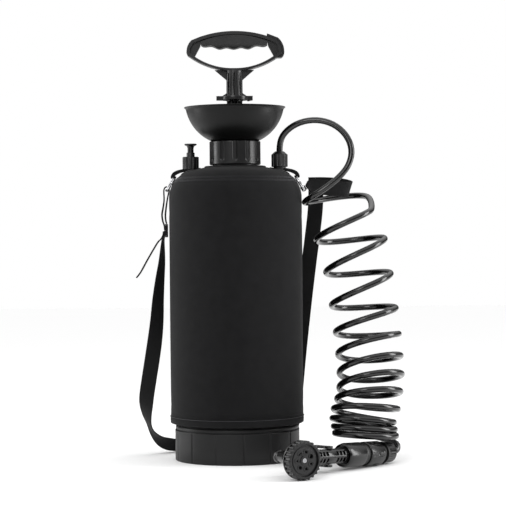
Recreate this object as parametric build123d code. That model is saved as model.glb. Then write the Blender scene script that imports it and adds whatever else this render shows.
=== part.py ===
from build123d import *
import os
from math import atan2, ceil, cos, degrees, pi, radians, sin, sqrt, tan

# Portable pump-up shower, standing on its base foot.
# The origin is on the floor at the centre of the base, +Z is up, +X is the side of the
# hose outlet and -Y is the front. Lengths are in millimetres and angles in degrees.

# Running and seating clearances
SOFT_GAP = 0.25
SEAT_GAP = 0.1
SLIDE_GAP = 0.1
LOOSE_GAP = 0.3

# Tank
TANK_RADIUS = 89.75
TANK_WALL = 3.0
TANK_BOTTOM_Z = 30.0
TANK_PUSH_UP = 8.0
TANK_HEEL_RADIUS = 8.0
TANK_STEP_Z = 49.4
TANK_STEP_HEIGHT = 6.6
SHOULDER_Z = 367.0
SHOULDER_RADIUS = 36.0
CROWN_SLOPE = 12.0
CROWN_START = 90.0 - CROWN_SLOPE
NECK_RADIUS = 30.0
NECK_WALL = 3.5
NECK_TOP_Z = 438.0
BOSS_X = 62.4
BOSS_RADIUS = 8.6
BOSS_BORE = 5.6
BOSS_TOP_Z = 416.0

# Base foot
FOOT_RADIUS = 87.1
FOOT_WALL = 3.0
FOOT_SKIRT_Z = 43.0
FOOT_EDGE = 1.0
FOOT_LIP_INSET = 0.7
FOOT_LIP_TOP_Z = 49.0
FOOT_GROOVE_COUNT = 14
FOOT_GROOVE_WIDTH = 1.2
FOOT_GROOVE_DEPTH = 0.9
FOOT_GROOVE_TURN = -83.7
FOOT_DECK = 4.0
FOOT_HUB_RADIUS = 42.0
FOOT_RIB_COUNT = 8
FOOT_RIB_THICK = 2.4
FOOT_RIB_LIFT = 3.0

# Neoprene cover
COVER_WALL = 3.0
COVER_MOUTH_RADIUS = 42.6
COVER_BOTTOM_Z = 64.3
HEM_BOTTOM_Z = 52.0
HEM_WALL = 3.4
BINDING_RADIUS = 2.0
EYELET_HOLE = 12.0
EYELET_WIRE = 0.9

# Collar nut, gasket and filling funnel
NUT_RADIUS = 35.9
NUT_BOTTOM_Z = 413.0
NUT_TOP_Z = 445.7
NUT_LIP = 2.9
NUT_FLUTE_COUNT = 12
NUT_FLUTE_WIDTH = 7.0
NUT_FLUTE_DEPTH = 1.3
NUT_BAND = 4.5
GASKET_THICK = 2.4
FUNNEL_WALL = 2.2
FUNNEL_BORE = 24.6
FUNNEL_THROAT = 29.6
FUNNEL_BEAD = 30.3
FUNNEL_FOOT_RADIUS = 32.4
FUNNEL_MID_RADIUS = 56.3
FUNNEL_MID_RISE = 18.2
FUNNEL_RIM_RADIUS = 68.2
FUNNEL_RIM_RISE = 43.0
FUNNEL_LIP_RADIUS = 71.2
FUNNEL_LIP_RISE = 47.9

# Pump cap and barrel
CAP_RADIUS = 30.0
CAP_TOP_Z = 497.0
CAP_PLATE = 4.0
CAP_CAVITY_RADIUS = 27.0
CAP_CAVITY_DEPTH = 9.5
CAP_BEARING = 5.5
CAP_PLUG_DEPTH = 13.0
CAP_GASKET = 1.2
CAP_FLUTE_COUNT = 16
CAP_FLUTE_RADIUS = 2.6
BARREL_RADIUS = 19.0
BARREL_WALL = 2.0
BARREL_BOTTOM_Z = 226.0
BARREL_PLATE = 3.0
PORT_COUNT = 6
PORT_RADIUS = 2.0
PORT_CIRCLE = 8.0
CHECK_RADIUS = 12.5
CHECK_THICK = 1.5
CHECK_TRAVEL = 2.0
CAGE_WALL = 2.0
CAGE_RISE = 6.0
CAGE_FLOOR = 2.4
CAGE_PIN = 2.4

# Piston, rod and handle
STROKE_DOWN = 18.0
ROD_RADIUS = 11.45
ROD_CORE = 7.2
ROD_RIB_COUNT = 8
ROD_RIB_THICK = 2.0
ROD_NECK = 5.0
ROD_HEAD = 6.4
ROD_HEAD_THICK = 3.0
PISTON_HEIGHT = 10.0
PISTON_INSET = 0.6
PISTON_GROOVE = 9.0
PISTON_LAND = 3.0
PISTON_SPARE = 3.0
HANDLE_LIFT = 6.7
FLANGE_BOTTOM_Z = CAP_TOP_Z + HANDLE_LIFT
FLANGE_THICK = 5.5
FLANGE_RADIUS = 18.9
TAB_SPAN = 50.9
TAB_WIDTH = 14.0
TAB_RAMP = 1.5
STEM_BORE = 5.1
SPIGOT_LENGTH = 20.0
STEM_SLOT_COUNT = 8
STEM_LENGTH = 35.6
HANDLE_HEIGHT = 54.9
HANDLE_HALF_WIDTH = 66.6
HANDLE_BOTTOM_Z = FLANGE_BOTTOM_Z + FLANGE_THICK + STEM_LENGTH
HANDLE_TOP_Z = HANDLE_BOTTOM_Z + HANDLE_HEIGHT
HANDLE_BAND = 3.1
HANDLE_DEPTH = 22.0
HANDLE_WEB_DEPTH = 13.0
HANDLE_RIM = 4.6
GRIP_DEPTH = 25.0
GRIP_ROUND = 8.0
GRIP_DROP = 25.3
CLIP_THICK = 3.5
CLIP_DEPTH = 16.0
GUSSET_THICK = 7.0

# Pressure relief valve, at the left boss
RELIEF_NUT_RADIUS = 11.45
RELIEF_NUT_BOTTOM_Z = 406.6
RELIEF_NUT_TOP_Z = 424.6
SMALL_FLUTE_COUNT = 12
SMALL_FLUTE_RADIUS = 1.9
RELIEF_BODY_RADIUS = 5.7
RELIEF_BODY_TOP_Z = 430.7
RELIEF_FLANGE = 2.3
RELIEF_SEAL = 1.0
RELIEF_BORE = 4.3
RELIEF_STEM = 2.5
RELIEF_SEAT_Z = 409.0
RELIEF_SEAT_HOLE = 2.0
RELIEF_TRAVEL = 4.0
KNOB_NECK_RADIUS = 4.25
KNOB_RADIUS = 8.75
KNOB_TOP_Z = 443.0
SPRING_WIRE = 0.4

# Hose outlet, at the right boss
OUTLET_NUT_BOTTOM_Z = 409.6
OUTLET_NUT_TOP_Z = 431.3
OUTLET_NUT_TAPER = 4.6
HOSE_RADIUS = 4.35
DIP_RADIUS = 4.0
DIP_WALL = 1.2
DIP_BOTTOM_Z = 52.0
STRAINER_RADIUS = 7.0
STRAINER_HEIGHT = 16.0

# Webbing tabs, split rings and strap
WEB_WIDTH = 21.5
WEB_THICK = 1.4
TAB_WEB_WIDTH = 14.0
TAB_WEB_THICK = 2.2
RING_RADIUS = 12.0
RING_WIRE = 0.95
RING_LEAN = 58.0
RING_X = 90.6
RING_Z = 386.8
SLIDER_WIDTH = 27.0
SLIDER_HEIGHT = 19.0
SLIDER_THICK = 3.0
SLIDER_BAR = 2.6
SLIDER_X = -97.0
SLIDER_Z = 321.5

# Hose route points, chosen by eye along the hose's centre line
HOSE_LEAD = [
    (62.4, 0.0, OUTLET_NUT_TOP_Z),
    (62.4, 0.0, 446.0),
    (72.5, -4.0, 461.0),
    (91.0, -9.0, 472.0),
    (115.0, -14.0, 475.0),
    (138.0, -18.0, 468.5),
    (155.5, -22.0, 453.0),
    (163.5, -26.0, 432.0),
    (159.0, -30.0, 411.0),
    (146.0, -33.0, 394.5),
    (127.0, -36.0, 379.5),
    (108.0, -34.5, 367.5),
    (97.6, -22.0, 361.0),
    (97.0, 2.0, 358.5),
    (108.0, 26.0, 361.0),
    (130.0, 44.0, 365.5),
    (157.0, 54.0, 369.0),
    (181.0, 46.0, 369.5),
    (193.0, 22.0, 366.5),
    (193.5, -6.0, 360.5),
    (181.0, -31.0, 352.5),
    (160.0, -43.0, 341.0),
    (141.0, -43.5, 328.5),
]
COIL_RADIUS = 43.8
COIL_STATIONS = [
    (159.0, -3.0, 330.0),
    (164.0, -5.0, 308.0),
    (175.0, -9.0, 262.0),
    (183.0, -13.0, 220.0),
    (188.5, -19.0, 165.0),
    (190.5, -28.0, 125.0),
    (186.0, -40.0, 95.0),
    (177.5, -56.0, 66.0),
    (175.5, -66.0, 36.5),
]
HOSE_TAIL = [
    (219.8, -47.5, 16.0),
    (218.4, -34.5, 24.5),
    (210.0, -25.0, 35.0),
    (198.5, -20.5, 45.0),
]
HOSE_GRIP = 8.0

# Spray gun lying on the floor
DIAL_FACE = (88.7, -252.0)
DIAL_TURN = 32.0
DIAL_RADIUS = 25.7
DIAL_DEPTH = 12.0
DIAL_LOBE_COUNT = 24
DIAL_LOBE_RADIUS = 1.5
DIAL_PLATE_RADIUS = 17.6
DIAL_RIM_RADIUS = 20.2
DIAL_RECESS = 2.2
HEAD_FLANGE_RADIUS = 25.2
HEAD_FLANGE = 2.6
HEAD_CONE_RADIUS = 20.0
HEAD_CONE_DEPTH = 50.0
HEAD_WAIST_RADIUS = 6.9
HEAD_END_RADIUS = 7.9
HEAD_AXIS_DEPTH = 26.0
HANDLE_AXIS_END = (182.0, -99.5)
AXIS_LIFT = 0.8
CONNECTOR_RADIUS = 16.4
BARREL_GRIP_RADIUS = 10.0
BARREL_GRIP_CORE = 6.2
SLOT_PITCH = 7.3
SLOT_WIDTH = 4.2
SLOT_COUNT = 11
SLOT_START = 27.0
CUP_START = 101.0
CUP_LENGTH = 38.5
GROOVE_RING = 9.5
SLEEVE_LENGTH = 33.0
SLEEVE_TRAVEL = 4.0
COUPLER_WALL = 2.0
END_NUT_LENGTH = 26.0
LEVER_BOSS_RADIUS = 6.0
LEVER_BOSS_RISE = 3.4
LEVER_AT = 70.5
LEVER_WIDTH = 9.0
LEVER_THICK = 3.6
LEVER_REACH = 26.5


def turned(points):
    """Return the solid made by turning a closed (radius, height) outline about Z."""
    return revolve(Plane.XZ * make_face(Polyline(*points, close=True)), Axis.Z)


def tube(outer, inner, bottom, top):
    """Return a plain ring or tube between two heights."""
    return turned([(inner, bottom), (outer, bottom), (outer, top), (inner, top)])


def post(radius, bottom, top):
    """Return a plain round bar on the Z axis between two heights."""
    return Pos(0, 0, (bottom + top) / 2) * Cylinder(radius, top - bottom)


def around(count, shape, start=0.0):
    """Return copies of a shape, evenly spaced about the Z axis."""
    return [Rot(0, 0, start + 360.0 * i / count) * shape for i in range(count)]


def fluted(radius, bottom, top, count, cutter_radius, bite):
    """Return round cutters that stand on a circle and bite into a round grip."""
    cutter = Pos(radius + cutter_radius - bite, 0, 0) * post(cutter_radius, bottom, top)
    return around(count, cutter, 180.0 / count)


def band(points, thick, width):
    """Return a bent strip: its middle line lies in XZ and its width runs along Y."""
    left = []
    right = []
    for i, point in enumerate(points):
        before = points[max(i - 1, 0)]
        after = points[min(i + 1, len(points) - 1)]
        run = Vector(after[0] - before[0], after[1] - before[1]).normalized()
        side = Vector(-run.Y, run.X) * (thick / 2)
        left.append((point[0] + side.X, point[1] + side.Y))
        right.append((point[0] - side.X, point[1] - side.Y))
    face = Plane.XZ * make_face(Polyline(*left, *reversed(right), close=True))
    return extrude(face, amount=width / 2, both=True)


def ribbon(stations, first, last):
    """Return flat webbing between two of its stations, each (centre, width, direction
    of the width). Runs cut from one list of stations meet face to face."""
    sections = []
    centres = [Vector(*centre) for centre, _, _ in stations]
    for i in range(first, last + 1):
        width = stations[i][1]
        across = stations[i][2]
        run = centres[min(i + 1, len(centres) - 1)] - centres[max(i - 1, 0)]
        run = run.normalized()
        across = Vector(*across)
        across = (across - run * across.dot(run)).normalized()
        plane = Plane(origin=centres[i], x_dir=across, z_dir=run)
        sections.append(plane * Rectangle(width, WEB_THICK))
    return loft(sections, ruled=True)


def hose_tube(points, radius):
    """Return a tube of straight runs and tangent arcs, and print its arc radii."""
    corners = [Vector(*point) for point in points]
    radii = []
    for i in range(1, len(corners) - 1):
        first = corners[i] - corners[i - 1]
        second = corners[i + 1] - corners[i]
        turn = first.get_angle(second)
        shorter = min(first.length, second.length)
        radii.append(0.45 * shorter / tan(radians(turn / 2)))
    path = FilletPolyline(*corners, radius=radii)
    start = Plane(origin=corners[0], z_dir=corners[1] - corners[0])
    result = sweep(start * Circle(radius), path=path)
    share = result.volume / (pi * radius * radius * path.length)
    print("hose arcs", [round(r, 1) for r in radii], "length", round(path.length, 1))
    print("volume over section times length", round(share, 4))
    return result


# Profiles shared by the tank, its cover and what passes through them


def shell_outline(grow, bottom, stop_radius):
    """Return a solid of the tank's wall and shoulder, grown by a distance, with its crown
    ending at a radius. It is used for the tank, its inside and both faces of the cover."""
    wall = TANK_RADIUS + grow
    corner = SHOULDER_RADIUS + grow
    centre = TANK_RADIUS - SHOULDER_RADIUS
    middle = radians(CROWN_START / 2)
    end = radians(CROWN_START)
    arc_mid = (centre + corner * cos(middle), SHOULDER_Z + corner * sin(middle))
    arc_end = (centre + corner * cos(end), SHOULDER_Z + corner * sin(end))
    peak = (stop_radius, arc_end[1] + (arc_end[0] - stop_radius) * tan(radians(CROWN_SLOPE)))
    lines = Line((0, bottom), (wall, bottom))
    lines += Line((wall, bottom), (wall, SHOULDER_Z))
    lines += ThreePointArc((wall, SHOULDER_Z), arc_mid, arc_end)
    lines += Line(arc_end, peak)
    lines += Line(peak, (0, peak[1]))
    lines += Line((0, peak[1]), (0, bottom))
    return revolve(Plane.XZ * make_face(lines), Axis.Z)


def cover_height(radius):
    """Return the height of the cover's outer face at a radius on the shoulder."""
    corner = SHOULDER_RADIUS + SOFT_GAP + COVER_WALL
    across = radius - (TANK_RADIUS - SHOULDER_RADIUS)
    flat = corner * cos(radians(CROWN_START))
    if across < flat:
        edge = SHOULDER_Z + corner * sin(radians(CROWN_START))
        return edge + (flat - across) * tan(radians(CROWN_SLOPE))
    return SHOULDER_Z + sqrt(corner * corner - across * across)


def lower_tank(inset):
    """Return the stepped lower end of the tank, shrunk by a distance."""
    foot = FOOT_RADIUS - FOOT_WALL - 2 * LOOSE_GAP - inset
    bottom = TANK_BOTTOM_Z + inset
    heel = TANK_HEEL_RADIUS
    step = TANK_STEP_Z + inset * 0.4
    top = TANK_STEP_Z + TANK_STEP_HEIGHT + inset * 0.4
    ease = heel * (1 - sqrt(0.5))
    lines = ThreePointArc((0, bottom + TANK_PUSH_UP), (foot * 0.42, bottom + TANK_PUSH_UP * 0.72),
                          (foot - 2 * heel, bottom))
    lines += Line((foot - 2 * heel, bottom), (foot - heel, bottom))
    lines += ThreePointArc((foot - heel, bottom), (foot - ease, bottom + ease), (foot, bottom + heel))
    lines += Line((foot, bottom + heel), (foot, step))
    lines += Line((foot, step), (TANK_RADIUS - inset, top))
    lines += Line((TANK_RADIUS - inset, top), (TANK_RADIUS - inset, top + 10))
    lines += Line((TANK_RADIUS - inset, top + 10), (0, top + 10))
    lines += Line((0, top + 10), (0, bottom + TANK_PUSH_UP))
    return revolve(Plane.XZ * make_face(lines), Axis.Z)


WALL_START_Z = TANK_STEP_Z + TANK_STEP_HEIGHT + 5


def tank_form(inset, neck, top):
    """Return the whole tank as a solid, shrunk by a distance, with its neck."""
    body = shell_outline(-inset, WALL_START_Z, neck)
    return body + lower_tank(inset) + post(neck, SHOULDER_Z, top)


def tank_shell():
    inside = tank_form(TANK_WALL, NECK_RADIUS - NECK_WALL, NECK_TOP_Z + 1)
    shell = tank_form(0, NECK_RADIUS, NECK_TOP_Z)
    for side in (-1, 1):
        shell += Pos(side * BOSS_X, 0, 0) * post(BOSS_RADIUS, SHOULDER_Z + 20, BOSS_TOP_Z)
    shell -= inside
    for side in (-1, 1):
        shell -= Pos(side * BOSS_X, 0, 0) * post(BOSS_BORE, SHOULDER_Z, BOSS_TOP_Z + 1)
    return shell


def base_foot():
    wall = FOOT_RADIUS - FOOT_WALL
    lip = FOOT_RADIUS - FOOT_LIP_INSET
    deck = TANK_BOTTOM_Z - FOOT_DECK
    shadow = FOOT_SKIRT_Z + 0.9
    foot = turned([
        (wall, 0), (FOOT_RADIUS - FOOT_EDGE, 0), (FOOT_RADIUS, FOOT_EDGE),
        (FOOT_RADIUS, FOOT_SKIRT_Z), (lip - 1.0, shadow), (lip, shadow + 0.8),
        (lip, FOOT_LIP_TOP_Z - 0.8), (lip - 0.8, FOOT_LIP_TOP_Z), (wall, FOOT_LIP_TOP_Z),
    ])
    foot += tube(wall + 0.5, FOOT_HUB_RADIUS, deck, TANK_BOTTOM_Z)
    foot += tube(FOOT_HUB_RADIUS + FOOT_RIB_THICK, FOOT_HUB_RADIUS, FOOT_RIB_LIFT, TANK_BOTTOM_Z)
    length = wall + 0.5 - FOOT_HUB_RADIUS
    rib = Pos(FOOT_HUB_RADIUS + length / 2, 0, (FOOT_RIB_LIFT + deck) / 2) * Box(
        length, FOOT_RIB_THICK, deck - FOOT_RIB_LIFT)
    for piece in around(FOOT_RIB_COUNT, rib, 180.0 / FOOT_RIB_COUNT):
        foot += piece
    height = FOOT_SKIRT_Z - 1.5
    groove = Pos(FOOT_RADIUS, 0, height / 2) * Box(
        2 * FOOT_GROOVE_DEPTH, FOOT_GROOVE_WIDTH, height + 0.1)
    for piece in around(FOOT_GROOVE_COUNT, groove, FOOT_GROOVE_TURN):
        foot -= piece
    return foot


def cover_sleeve():
    skin = shell_outline(SOFT_GAP + COVER_WALL, COVER_BOTTOM_Z, COVER_MOUTH_RADIUS)
    skin -= shell_outline(SOFT_GAP, COVER_BOTTOM_Z - 1, NECK_RADIUS)
    skin -= post(COVER_MOUTH_RADIUS, SHOULDER_Z, NECK_TOP_Z)
    for side in (-1, 1):
        skin -= Pos(side * BOSS_X, 0, 0) * post(EYELET_HOLE, SHOULDER_Z + 20, NECK_TOP_Z)
    return skin


def cover_hem():
    inner = TANK_RADIUS + SOFT_GAP
    outer = inner + HEM_WALL
    top = COVER_BOTTOM_Z
    return turned([
        (inner, HEM_BOTTOM_Z + 0.8), (inner + 0.8, HEM_BOTTOM_Z), (outer - 1.2, HEM_BOTTOM_Z),
        (outer, HEM_BOTTOM_Z + 1.2), (outer, top - 1.2), (outer - 0.6, top), (inner, top),
    ])


def cover_binding():
    """Return the bound edge of the cover's mouth, rolled against the neck."""
    radius = COVER_MOUTH_RADIUS - BINDING_RADIUS - SOFT_GAP
    height = cover_height(COVER_MOUTH_RADIUS) - 0.1
    low = height - BINDING_RADIUS * 1.0
    return turned([
        (radius - 3.4, low + 1.0), (radius + BINDING_RADIUS, low),
        (radius + BINDING_RADIUS, height + 0.6), (radius + 0.6, height + BINDING_RADIUS),
        (radius - 2.2, height + BINDING_RADIUS), (radius - 3.4, height + 0.8),
    ])


def cover_eyelets():
    """Return the two moulded rings round the cover's holes, tilted with the shoulder."""
    ring = Torus(EYELET_HOLE + EYELET_WIRE + 0.2, EYELET_WIRE)
    slope = degrees(atan2(BOSS_X - TANK_RADIUS + SHOULDER_RADIUS, SHOULDER_RADIUS))
    height = cover_height(BOSS_X) + EYELET_WIRE + 0.3
    right = Pos(BOSS_X, 0, height) * Rot(0, slope, 0) * ring
    left = Pos(-BOSS_X, 0, height) * Rot(0, -slope, 0) * ring
    return Compound(children=[right, left])


def collar_nut():
    lip = NUT_TOP_Z - NUT_LIP
    bore = FUNNEL_BEAD + 0.3
    hole = FUNNEL_THROAT + 0.2
    nut = turned([
        (bore, NUT_BOTTOM_Z), (NUT_RADIUS - 1.0, NUT_BOTTOM_Z), (NUT_RADIUS, NUT_BOTTOM_Z + 1.0),
        (NUT_RADIUS, NUT_TOP_Z - 0.6), (NUT_RADIUS - 0.6, NUT_TOP_Z), (hole, NUT_TOP_Z),
        (hole, lip), (bore, lip),
    ])
    groove = Box(2 * NUT_FLUTE_DEPTH, NUT_FLUTE_WIDTH, NUT_TOP_Z)
    groove = fillet(groove.edges().filter_by(Axis.X), NUT_FLUTE_WIDTH / 3)
    groove = Pos(NUT_RADIUS, 0, NUT_BOTTOM_Z + NUT_BAND + NUT_TOP_Z / 2) * groove
    for piece in around(NUT_FLUTE_COUNT, groove, -90.0):
        nut -= piece
    return nut


FUNNEL_BASE_Z = NECK_TOP_Z + GASKET_THICK
FUNNEL_FOOT_Z = NUT_TOP_Z + 0.3
FUNNEL_FLOOR_Z = FUNNEL_FOOT_Z + FUNNEL_WALL + 0.2


def funnel_bowl():
    lip = NUT_TOP_Z - NUT_LIP
    mid = (FUNNEL_MID_RADIUS, FUNNEL_FOOT_Z + FUNNEL_MID_RISE)
    rim = (FUNNEL_RIM_RADIUS, FUNNEL_FOOT_Z + FUNNEL_RIM_RISE)
    inner_mid = (mid[0] - FUNNEL_WALL * 0.8, mid[1] + FUNNEL_WALL * 0.6)
    inner_rim = (rim[0] - FUNNEL_WALL, rim[1] + 0.3)
    top = FUNNEL_FOOT_Z + FUNNEL_LIP_RISE
    outer = FUNNEL_LIP_RADIUS
    lines = Polyline(
        (FUNNEL_BORE, FUNNEL_FLOOR_Z), (FUNNEL_BORE, FUNNEL_BASE_Z), (FUNNEL_BEAD, FUNNEL_BASE_Z),
        (FUNNEL_BEAD, lip - 0.6), (FUNNEL_THROAT, lip - 0.2), (FUNNEL_THROAT, FUNNEL_FOOT_Z),
        (FUNNEL_FOOT_RADIUS, FUNNEL_FOOT_Z),
    )
    lines += ThreePointArc((FUNNEL_FOOT_RADIUS, FUNNEL_FOOT_Z), mid, rim)
    lines += Polyline(
        rim, (outer - 1.7, top - 2.4), (outer, top - 1.3), (outer, top),
        (outer - 1.8, top), (inner_rim[0] + 1.2, top - 1.7), inner_rim,
    )
    lines += ThreePointArc(inner_rim, inner_mid, (FUNNEL_FOOT_RADIUS, FUNNEL_FLOOR_Z))
    lines += Line((FUNNEL_FOOT_RADIUS, FUNNEL_FLOOR_Z), (FUNNEL_BORE, FUNNEL_FLOOR_Z))
    return revolve(Plane.XZ * make_face(lines), Axis.Z)


def neck_gasket():
    return tube(NECK_RADIUS - 0.2, NECK_RADIUS - NECK_WALL + 0.2, NECK_TOP_Z, FUNNEL_BASE_Z)


# Pump


CAP_BASE_Z = FUNNEL_FLOOR_Z + CAP_GASKET
CAVITY_FLOOR_Z = CAP_TOP_Z - CAP_PLATE - CAP_CAVITY_DEPTH
BARREL_TOP_Z = CAVITY_FLOOR_Z - CAP_BEARING
CAP_HOLE_RADIUS = FLANGE_RADIUS + 0.9


def pump_cap():
    plug = FUNNEL_BORE - LOOSE_GAP
    low = CAP_BASE_Z - CAP_PLUG_DEPTH
    bore = BARREL_RADIUS + SEAT_GAP
    bearing = ROD_RADIUS + SLIDE_GAP
    cap = turned([
        (bore, low), (plug, low), (plug, CAP_BASE_Z), (CAP_RADIUS - 0.8, CAP_BASE_Z),
        (CAP_RADIUS, CAP_BASE_Z + 0.8), (CAP_RADIUS, CAP_TOP_Z - 1.2), (CAP_RADIUS - 1.2, CAP_TOP_Z),
        (CAP_HOLE_RADIUS, CAP_TOP_Z), (CAP_HOLE_RADIUS, CAP_TOP_Z - CAP_PLATE),
        (CAP_CAVITY_RADIUS, CAP_TOP_Z - CAP_PLATE), (CAP_CAVITY_RADIUS, CAVITY_FLOOR_Z),
        (bearing, CAVITY_FLOOR_Z), (bearing, BARREL_TOP_Z), (bore, BARREL_TOP_Z),
    ])
    slot = Pos(0, 0, CAP_TOP_Z - CAP_PLATE / 2) * Box(TAB_SPAN + 1.6, TAB_WIDTH + 1.2, CAP_PLATE + 1)
    cap -= slot
    low_flute = CAP_BASE_Z + 4.0
    high_flute = CAP_TOP_Z - CAP_PLATE - 2.0
    for cutter in fluted(CAP_RADIUS, low_flute, high_flute, CAP_FLUTE_COUNT, CAP_FLUTE_RADIUS, 1.4):
        cap -= cutter
    return cap


def cap_gasket():
    return tube(CAP_RADIUS - 1.0, FUNNEL_BORE + 0.4, FUNNEL_FLOOR_Z, CAP_BASE_Z)


def pump_barrel():
    inner = BARREL_RADIUS - BARREL_WALL
    barrel = tube(BARREL_RADIUS, inner, BARREL_BOTTOM_Z, BARREL_TOP_Z)
    barrel += post(inner + 0.5, BARREL_BOTTOM_Z, BARREL_BOTTOM_Z + BARREL_PLATE)
    port = Pos(PORT_CIRCLE, 0, 0) * post(
        PORT_RADIUS, BARREL_BOTTOM_Z - 1, BARREL_BOTTOM_Z + BARREL_PLATE + 1)
    for cutter in around(PORT_COUNT, port):
        barrel -= cutter
    return barrel


def check_valve():
    top = BARREL_BOTTOM_Z - SEAT_GAP
    return tube(CHECK_RADIUS, CAGE_PIN + 0.2, top - CHECK_THICK, top)


def valve_cage():
    inner = BARREL_RADIUS + SEAT_GAP
    outer = inner + CAGE_WALL
    floor = BARREL_BOTTOM_Z - CHECK_THICK - CHECK_TRAVEL - 1.0
    low = floor - CAGE_FLOOR
    cage = tube(outer, inner, low, BARREL_BOTTOM_Z + CAGE_RISE)
    cage += tube(inner + 0.5, inner - 5.0, low, floor)
    cage += tube(inner, BARREL_RADIUS - BARREL_WALL, floor - 0.1, BARREL_BOTTOM_Z - SEAT_GAP)
    cage += post(CAGE_PIN, low, BARREL_BOTTOM_Z - SEAT_GAP)
    for turn in (0, 90):
        cage += Rot(0, 0, turn) * Pos(0, 0, (low + floor) / 2) * Box(2 * inner, 3.0, CAGE_FLOOR)
    return cage


PISTON_BOTTOM_Z = BARREL_BOTTOM_Z + BARREL_PLATE + STROKE_DOWN + PISTON_SPARE + ROD_HEAD_THICK
PISTON_TOP_Z = PISTON_BOTTOM_Z + PISTON_HEIGHT


def piston():
    bore = BARREL_RADIUS - BARREL_WALL
    outer = bore - PISTON_INSET
    hole = ROD_NECK + SLIDE_GAP
    return turned([
        (hole, PISTON_BOTTOM_Z), (outer, PISTON_BOTTOM_Z), (outer, PISTON_BOTTOM_Z + PISTON_LAND),
        (PISTON_GROOVE, PISTON_BOTTOM_Z + PISTON_LAND), (PISTON_GROOVE, PISTON_TOP_Z - PISTON_LAND),
        (outer, PISTON_TOP_Z - PISTON_LAND), (outer, PISTON_TOP_Z), (hole, PISTON_TOP_Z),
    ])


def piston_cup():
    """Return the rubber cup that seals the piston, with its lip turned down."""
    rim = BARREL_RADIUS - BARREL_WALL - 0.05
    low = PISTON_BOTTOM_Z + PISTON_LAND + SEAT_GAP
    high = PISTON_TOP_Z - PISTON_LAND - SEAT_GAP
    inner = PISTON_GROOVE + SEAT_GAP
    return turned([
        (inner, low + 1.4), (inner, high), (rim - 0.5, high), (rim, low + 0.4), (rim - 0.3, low),
        (rim - 1.4, low), (rim - 2.2, low + 1.4),
    ])


def pump_rod():
    """Return the ribbed rod, with the neck and snap head that hold the piston."""
    low = PISTON_TOP_Z + SEAT_GAP
    rod = post(ROD_CORE, low, FLANGE_BOTTOM_Z)
    rod += post(ROD_RADIUS, low, low + 3.0)
    rod += post(ROD_RADIUS, FLANGE_BOTTOM_Z - 1.5, FLANGE_BOTTOM_Z)
    ring = Pos(ROD_RADIUS / 2, 0, (low + FLANGE_BOTTOM_Z) / 2) * Box(
        ROD_RADIUS, ROD_RIB_THICK, FLANGE_BOTTOM_Z - low)
    for rib in around(ROD_RIB_COUNT, ring, 22.5):
        rod += rib
    rod &= post(ROD_RADIUS, low, FLANGE_BOTTOM_Z)
    rod += post(ROD_NECK, PISTON_BOTTOM_Z - ROD_HEAD_THICK, low + 1)
    head = PISTON_BOTTOM_Z - SEAT_GAP
    rod += turned([
        (0, head - ROD_HEAD_THICK), (ROD_HEAD - 1.6, head - ROD_HEAD_THICK),
        (ROD_HEAD, head - 0.8), (ROD_HEAD, head), (0, head),
    ])
    rod += post(STEM_BORE - 0.05, FLANGE_BOTTOM_Z - 1, FLANGE_BOTTOM_Z + SPIGOT_LENGTH - 0.5)
    return rod


def mirrored(points):
    """Return points of a right half in XZ, followed by their mirror images."""
    return points + [(-x, z) for x, z in reversed(points)]


def handle_outline():
    """Return the outer outline of the D-shaped handle as a face in the XZ plane."""
    wide = HANDLE_HALF_WIDTH
    top = HANDLE_TOP_Z
    low = HANDLE_BOTTOM_Z
    lines = Curve()
    for side in (1, -1):
        start = (0, top)
        shoulder = (side * wide * 0.71, top - 7.6)
        brow = (side * wide * 0.895, top - 12.4)
        cheek = (side * wide, top - 28.5)
        heel = (side * wide * 0.945, low + 20.0)
        lines += ThreePointArc(start, (side * wide * 0.37, top - 2.0), shoulder)
        lines += Line(shoulder, brow)
        lines += ThreePointArc(brow, (side * wide * 0.968, top - 19.0), cheek)
        lines += ThreePointArc(cheek, (side * wide * 0.99, low + 22.6), heel)
        lines += ThreePointArc(heel, (side * wide * 0.51, low + 5.2), (0, low))
    return make_face(lines)


def handle_opening():
    """Return the space inside the handle's band, grip included, as a face."""
    top = HANDLE_TOP_Z - 5.3
    low = HANDLE_BOTTOM_Z + HANDLE_BAND
    wide = HANDLE_HALF_WIDTH
    lines = Curve()
    for side in (1, -1):
        end = (side * wide * 0.704, top - 9.3)
        lip = (side * wide * 0.713, top - 14.6)
        heel = (side * wide * 0.835, low + 16.8)
        lines += ThreePointArc((0, top), (side * wide * 0.36, top - 2.3), end)
        lines += Line(end, lip)
        lines += Line(lip, heel)
        lines += ThreePointArc(heel, (side * wide * 0.42, low + 3.6), (0, low))
    return make_face(lines)


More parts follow.
